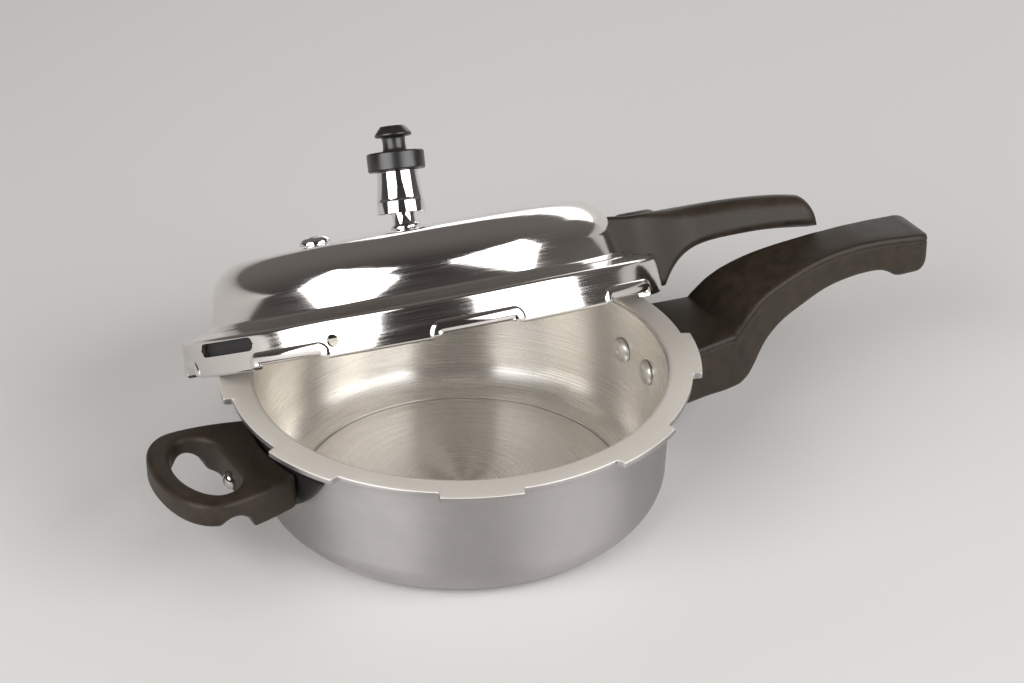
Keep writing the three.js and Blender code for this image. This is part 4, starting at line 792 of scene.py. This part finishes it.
lid_rows.append(ring_row(skirt_in, (inner_foot + gap_low) / 2, columns))
inner_low = len(lid_rows)
lid_rows += [ring_row(skirt_in, z, columns) for z in (gap_low, gap_high)]
lid_rows += [ring_row(r, z, columns) for r, z in under]
lid_rows.append(lid_rows[0])
hole_columns = pierced | np.roll(pierced, -1)
keep = np.ones((len(lid_rows) - 1, columns), bool)
for row in (outer_top, inner_low):
    keep[row, hole_columns] = False
hole_sides = []
for i in np.nonzero(hole_columns)[0]:
    j = (i + 1) % columns
    for outer_row, inner_row in ((outer_top, inner_low + 1), (outer_top + 1, inner_low)):
        hole_sides.append([outer_row * columns + i, outer_row * columns + j,
                           inner_row * columns + j, inner_row * columns + i])
lid_turns = np.append(lid_degrees, lid_degrees[0] + 360) / 360
lid_mesh = skin("lid_shell", round_grid(lid_rows, lid_degrees), keep, lid_turns, extra=np.array(hole_sides))

# Mirror polish: buffed round and round, so it keeps a faint streak along the skirt and dome.
streak_length, streak_wide, streak_depth = 100 / 3, 0.625, 0.01
polished_aluminium, polish_tree, polish_shader = new_finish(
    "aluminium, mirror polished", {"Metallic": 1.0, "Base Color": srgb("#e6e2de"), "Anisotropic": 0.6})
streaks = tool_lines(polish_tree, polish_shader, streak_length, streak_wide, 4.0)
wear(polish_tree, polish_shader, streaks, (0.35, 0.75), (0.06, 0.17), streaks, streak_depth)
fit("lid_dome", lid_mesh, polished_aluminium, LID, "lid", "polished_aluminium", "lid_shell")

# Rolled edge of each notch: the sheet is curled over a wire-thin roll, so the hand meets no
# sharp edge. One roll is swept along the arch, wrapped round the skirt, and repeated.
bead, roll_sides, roll_start, roll_cap = 2.1, 24, 1.3, 0.2
roll_drop, roll_tall = -0.66, 1.72
bend_x, bend_z = notch_half - notch_round, notch_height - notch_round
rise = [(-notch_half, h) for h in np.linspace(roll_start, bend_z, 3)]
rise += [(-bend_x - notch_round * math.cos(a), bend_z + notch_round * math.sin(a))
         for a in np.radians(np.linspace(6, 90, 14))]
level_run = [(x, notch_height) for x in np.linspace(2 - bend_x, bend_x - 2, 22)]
roll_line = np.array(rise + level_run + [(-x, h) for x, h in reversed(rise)])
run = np.gradient(roll_line, axis=0)
run /= np.linalg.norm(run, axis=1)[:, None]
swing = roll_line[:, 0] / skirt_mean
flat = np.zeros_like(swing)
up = np.array([0, 0, 1])
out_way = np.stack([np.cos(swing), np.sin(swing), flat], -1)
side_way = np.stack([-np.sin(swing), np.cos(swing), flat], -1)
roll_centre = skirt_mean * out_way + roll_line[:, 1:] * up
square = side_way * -run[:, 1:2] + up * run[:, 0:1]
roll_rings = [np.repeat(roll_centre[:1] - roll_cap * up, roll_sides, 0)]
for i in range(len(roll_line)):
    size = bead if 0 < i < len(roll_line) - 1 else bead * 0.85
    around = np.linspace(0, 2 * math.pi, roll_sides, endpoint=False)[:, None]
    roll_rings.append(roll_centre[i] + size * (np.cos(around) * out_way[i]
                                               + (roll_drop + roll_tall * np.sin(around)) * square[i]))
roll_rings.append(np.repeat(roll_centre[-1:] - roll_cap * up, roll_sides, 0))
rolls = repeat_round("lid_notch_rolls", skin("notch_roll", np.array(roll_rings)), polished_aluminium,
                     lug_count, notch_turn, lug_pitch)
fit("lid_notch_rolls", rolls, None, LID, "lid", "polished_aluminium", "lid_shell")

# Lid handle. Bakelite, round-backed, with a root that hugs dome and skirt, a pointed foot down
# the skirt, and a low round boss over its screw.
lid_start, lid_tip, lid_tip_round, lid_top = 97.0, 213.7, 9.0, 40.2
lid_foot_end, foot_low, grip_low, arch_run, tip_sink = 123.8, 2.0, 20.8, 52.0, 3.0
root_wide, grip_wide, root_lift, tip_fall = 47.0, 27.0, 1.4, 7.0
boss_x, boss_radius, boss_rise, boss_bore = 119.0, 8.5, 1.6, 4.65
lid_screw_length, lid_screw_seat = 10.25, 38.5
lid_rivet_height, lid_rivet_seat, lid_rivet_grip = 30.25, dome_foot - 1.865, 2.9
roll_zone = 11.5
grip_start = lid_foot_end + arch_run
lid_reach, lid_height = np.array(over[::-1]).T


def lid_side(z):
    """Outer radius of the lid and its rolled notches at a height, with the seat's gap."""
    reach = np.interp(z, lid_height, lid_reach) + seat_gap
    return max(reach, skirt_mean + bead + seat_gap) if z < roll_zone else reach


lid_handle_rings = []
for x in np.concatenate([np.linspace(lid_start, grip_start, 80),
                         np.linspace(grip_start + 0.8, lid_tip - lid_tip_round, 24),
                         tip_stations(lid_tip, lid_tip_round, [*range(8, 88, 8), 87])]):
    inward = tip_turn(x, lid_tip, lid_tip_round)
    back = lid_top - tip_fall * ((x - lid_start) / (lid_tip - lid_start)) ** 5
    back += root_lift * (1 - ease(x, lid_start, lid_start + 14))
    low = foot_low + (grip_low - foot_low) * (1 - (1 - share(x, lid_foot_end, grip_start)) ** 4)
    low -= tip_sink * share(x, grip_start, lid_tip) ** 2
    high = back - (back - low) * 0.85 * inward
    slim = ease(x, dome_foot + 4.4, lid_foot_end + 24)
    half = (root_wide + (grip_wide - root_wide) * slim) / 2 - 5.4 * inward
    section = rounded_section(half, low, high, 2.5 + 6 * slim, 4.0, 8, side=24)
    lid_handle_rings.append(seated(section, x, lid_side))
fit("lid_handle_moulding", skin("lid_handle", capped(lid_handle_rings), sharp=44), bakelite, LID,
    "lid", "bakelite", "lid_handle")
boss_slope = bezier([(boss_radius - 2, boss_rise), (boss_radius + 1, boss_rise), (boss_radius + 1.5, -0.3),
                     (boss_radius + 5, -0.8)], 12)
boss_line = [(boss_bore, -4), (boss_bore, boss_rise - 0.4), (5.0, boss_rise), *boss_slope,
             (boss_radius + 4, -4), (boss_bore, -4)]
fit("lid_handle_boss", turned("lid_handle_boss", boss_line, 64), bakelite,
    LID @ Matrix.Translation((boss_x, 0, lid_top)), "lid", "bakelite", "lid_handle")
fit("lid_handle_screw_plated", screw("lid_handle_screw", lid_screw_length), plated_steel,
    LID @ Matrix.Translation((boss_x, 0, lid_screw_seat)) @ Matrix.Rotation(math.pi, 4, "X"),
    "lid", "steel", "lid_handle_screw")
lid_rivet_tilt = -math.atan2(dome_foot - dome_radius, corner_height - step_height)
lid_rivets = rivet_pair("lid_handle_rivet", lid_rivet_grip, lid_rivet_seat, lid_rivet_height,
                        lid_rivet_tilt, 0)
fit("lid_handle_rivets", lid_rivets, None, LID, "lid", "polished_aluminium",
    "lid_handle_rivet_1", "lid_handle_rivet_2")

# Vent tube and safety valve. Turned brass, chrome plated, each clamped through the crown by a
# steel nut over a rubber washer; the valve's middle is a plug of soft alloy that melts out.
vent_seat, vent_top, vent_foot = dome_height + 0.3, dome_height + 24, dome_height + 7.6
washer_top, washer_thick, nut_drop, nut_thick, nut_flats = dome_height - lid_wall - 0.3, 1.2, 1.5, 4.0, 14.0
vent_tail = washer_top - nut_drop - 5.5
vent_bore, stud = 1.5, 4.5
safety_x, safety_seat, safety_under = -47.0, crown(39.0) + 0.3, crown(55.5) - lid_wall - 0.3
safety_tail = safety_under - 7.0

# Bright chrome: a mirror that is cooler than the lid's, with a slight orange peel.
peel_size, peel_depth = 2.5, 0.004
chrome, chrome_tree, chrome_shader = new_finish(
    "chrome plate, bright", {"Metallic": 1.0, "Base Color": srgb("#e9e8e8")})
orange_peel = speckle(chrome_tree, peel_size, 4.0)
wear(chrome_tree, chrome_shader, orange_peel, (0.35, 0.75), (0.03, 0.09), orange_peel, peel_depth)
# Fusible alloy: dull grey as it was cast. Bare steel: grey, with the even grain of a fine cut.
soft_alloy = flat_finish("fusible alloy, cast", "#8c8882", "#a8a49d", 0.42, 1.0, 1.0, 0.03)
bare_steel = flat_finish("steel, bare turned", "#8f8b86", "#aaa6a1", 0.3, 1.0, 0.8, 0.01)

vent_line = [(vent_bore, vent_tail), (4.1, vent_tail), (stud, vent_tail + 0.4), (stud, vent_seat)]
vent_line += [(r, vent_seat + z) for r, z in (
    (7.3, 0), (7.5, 0.2), (7.5, 0.9), (7.2, 1.3), (6.1, 1.6), (5.7, 2.2))]
vent_line += [(5.7, vent_foot), (4.7, vent_top - 2.2), (4.5, vent_top - 1.7), (2.6, vent_top - 0.1)]
vent_line += [(2.3, vent_top), (vent_bore, vent_top), (vent_bore, vent_tail)]
safety_line = [(vent_bore, safety_tail), (stud, safety_tail)]
safety_line += [(r, safety_seat + z) for r, z in (
    (stud, 0), (7.8, 0), (8.0, 0.2), (8.0, 1.3), (7.8, 1.7), (6.2, 3.2), (5.8, 3.4), (3.5, 3.4),
    (3.3, 3.2), (3.3, 1.4), (vent_bore, 1.4))]
safety_line += [(vent_bore, safety_tail)]
plug_line = [(r, safety_seat + z) for r, z in (
    (0, 1.7), (3, 1.7), (3, 3.2), (2.8, 3.5), (1.6, 3.9), (0, 4.05))]
for node, ending, line, steps, x, finish, slot in (
        ("vent_tube", "_plated", vent_line, 64, 0, chrome, "chrome_plate"),
        ("safety_valve", "_plated", safety_line, 64, safety_x, chrome, "chrome_plate"),
        ("safety_plug", "_cast", plug_line, 40, safety_x, soft_alloy, "fusible_alloy")):
    fit(node + ending, turned(node, line, steps), finish, LID @ Matrix.Translation((x, 0, 0)),
        "lid", slot, node)
washer_line = [(vent_hole, -washer_thick), (8.2, -washer_thick), (8.5, 0.3 - washer_thick), (8.5, -0.3),
               (8.2, 0), (vent_hole, 0), (vent_hole, -washer_thick)]
nut_round = nut_flats / 2
nut_degrees = np.linspace(0, 360, 96, endpoint=False)
hexagon = nut_round / np.cos(np.radians((nut_degrees + 30) % 60 - 30))
nut_line = [(vent_hole, -nut_thick), (nut_round, -nut_thick), (hexagon, 0.5 - nut_thick), (hexagon, -0.5),
            (nut_round, 0), (vent_hole, 0), (vent_hole, -nut_thick)]
nut_rows = [ring_row(r, z, len(nut_degrees)) for r, z in nut_line]
for name, x, top in (("vent", 0, washer_top), ("safety", safety_x, safety_under)):
    fit(name + "_washer_ring", turned(name + "_washer", washer_line, 64), black_rubber,
        LID @ Matrix.Translation((x, 0, top)), "lid", "black_rubber", name + "_washer")
    fit(name + "_nut_hexagon", skin(name + "_nut", round_grid(nut_rows, nut_degrees), sharp=25), bare_steel,
        LID @ Matrix.Translation((x, 0, top - nut_drop)), "lid", "steel", name + "_nut")

# Weight. A turned, chrome-plated body that rocks on the vent tube, topped by a heat-proof
# bakelite collar and a mushroom knob to lift it by.
weight_low = vent_foot
collar_low = weight_low + 21.3
knob_low = collar_low + 10.0
head_low = knob_low + 7.2
band, hollow, spigot, rock = 12.1, 6.6, 3.5, 4.2
collar_wide, collar_thick, knob_wide, knob_edge = 14.5, 9.7, 9.3, 1.1
ROCK = (Matrix.Translation((0, 0, (weight_low + vent_top) / 2)) @ Matrix.Rotation(math.radians(rock), 4, "Y")
        @ Matrix.Translation((0, 0, -(weight_low + vent_top) / 2)))
# Collar and knob bakelite: black and less worn, so it shows the soft boxes as dim grey bands.
black_bakelite = bakelite_finish("bakelite, moulded black", "#1c1a19", "#272422", 0.7, 0.28, 0.36)
weight_line = [(hollow, weight_low), (band - 0.3, weight_low), (band, weight_low + 0.3)]
weight_line += [(band, weight_low + 0.7), (band - 0.1, weight_low + 5.9), (band - 0.15, weight_low + 6.3)]
weight_line += [*bezier([(11.7, weight_low + 6.6), (11.2, weight_low + 10), (10.6, weight_low + 14),
                         (10.3, collar_low - 1.2)], 10)]
weight_line += [(10.2, collar_low - 0.2), (10.0, collar_low), (spigot, collar_low), (spigot, head_low + 2)]
weight_line += [(0, head_low + 2), (0, vent_top + 7.3), (2.1, vent_top + 7.3), (2.1, vent_top + 2)]
weight_line += [(hollow, vent_top + 2), (hollow, weight_low)]
collar_line = [(spigot + 0.3, 0.3), (collar_wide - 0.6, 0.3), (collar_wide, 0.9)]
collar_line += arc(collar_wide - 1.1, collar_thick - 1.1, 1.1, 0, 90, 6)
collar_line += [(spigot + 0.3, collar_thick), (spigot + 0.3, 0.3)]
collar_line = [(r, collar_low + z) for r, z in collar_line]
knob_line = [(0, head_low + 2.4), (spigot + 0.3, head_low + 2.4), (spigot + 0.3, knob_low), (6.4, knob_low),
             (6.2, knob_low + 0.5)]
knob_line += [*bezier([(5.9, knob_low + 1), (5.6, knob_low + 3), (5.6, head_low - 1.5),
                       (6.0, head_low - 0.3)], 10)]
knob_line += [(6.5, head_low)] + arc(knob_wide - knob_edge, head_low + knob_edge, knob_edge, -80, 42, 8)
knob_line += arc(5.6, head_low + 4.5, 1.0, 42, 90, 5) + [(0, head_low + 5.6)]
for node, ending, line, finish, slot in (
        ("weight_body", "_plated", weight_line, chrome, "chrome_plate"),
        ("weight_collar", "_moulding", collar_line, black_bakelite, "bakelite"),
        ("weight_knob", "_moulding", knob_line, black_bakelite, "bakelite")):
    fit(node + ending, turned(node, line, 96), finish, LID @ ROCK, "weight", slot, node)

# Hidden steel. The needle in the weight and the two handle brackets are plain pressed and turned
# steel, so the CAD pieces stay as they are and only take the finish.
for node in ("weight_pin", "pan_handle_bracket", "lid_handle_bracket"):
    frame["nodes"][node].data.materials.clear()
    frame["nodes"][node].data.materials.append(bare_steel)
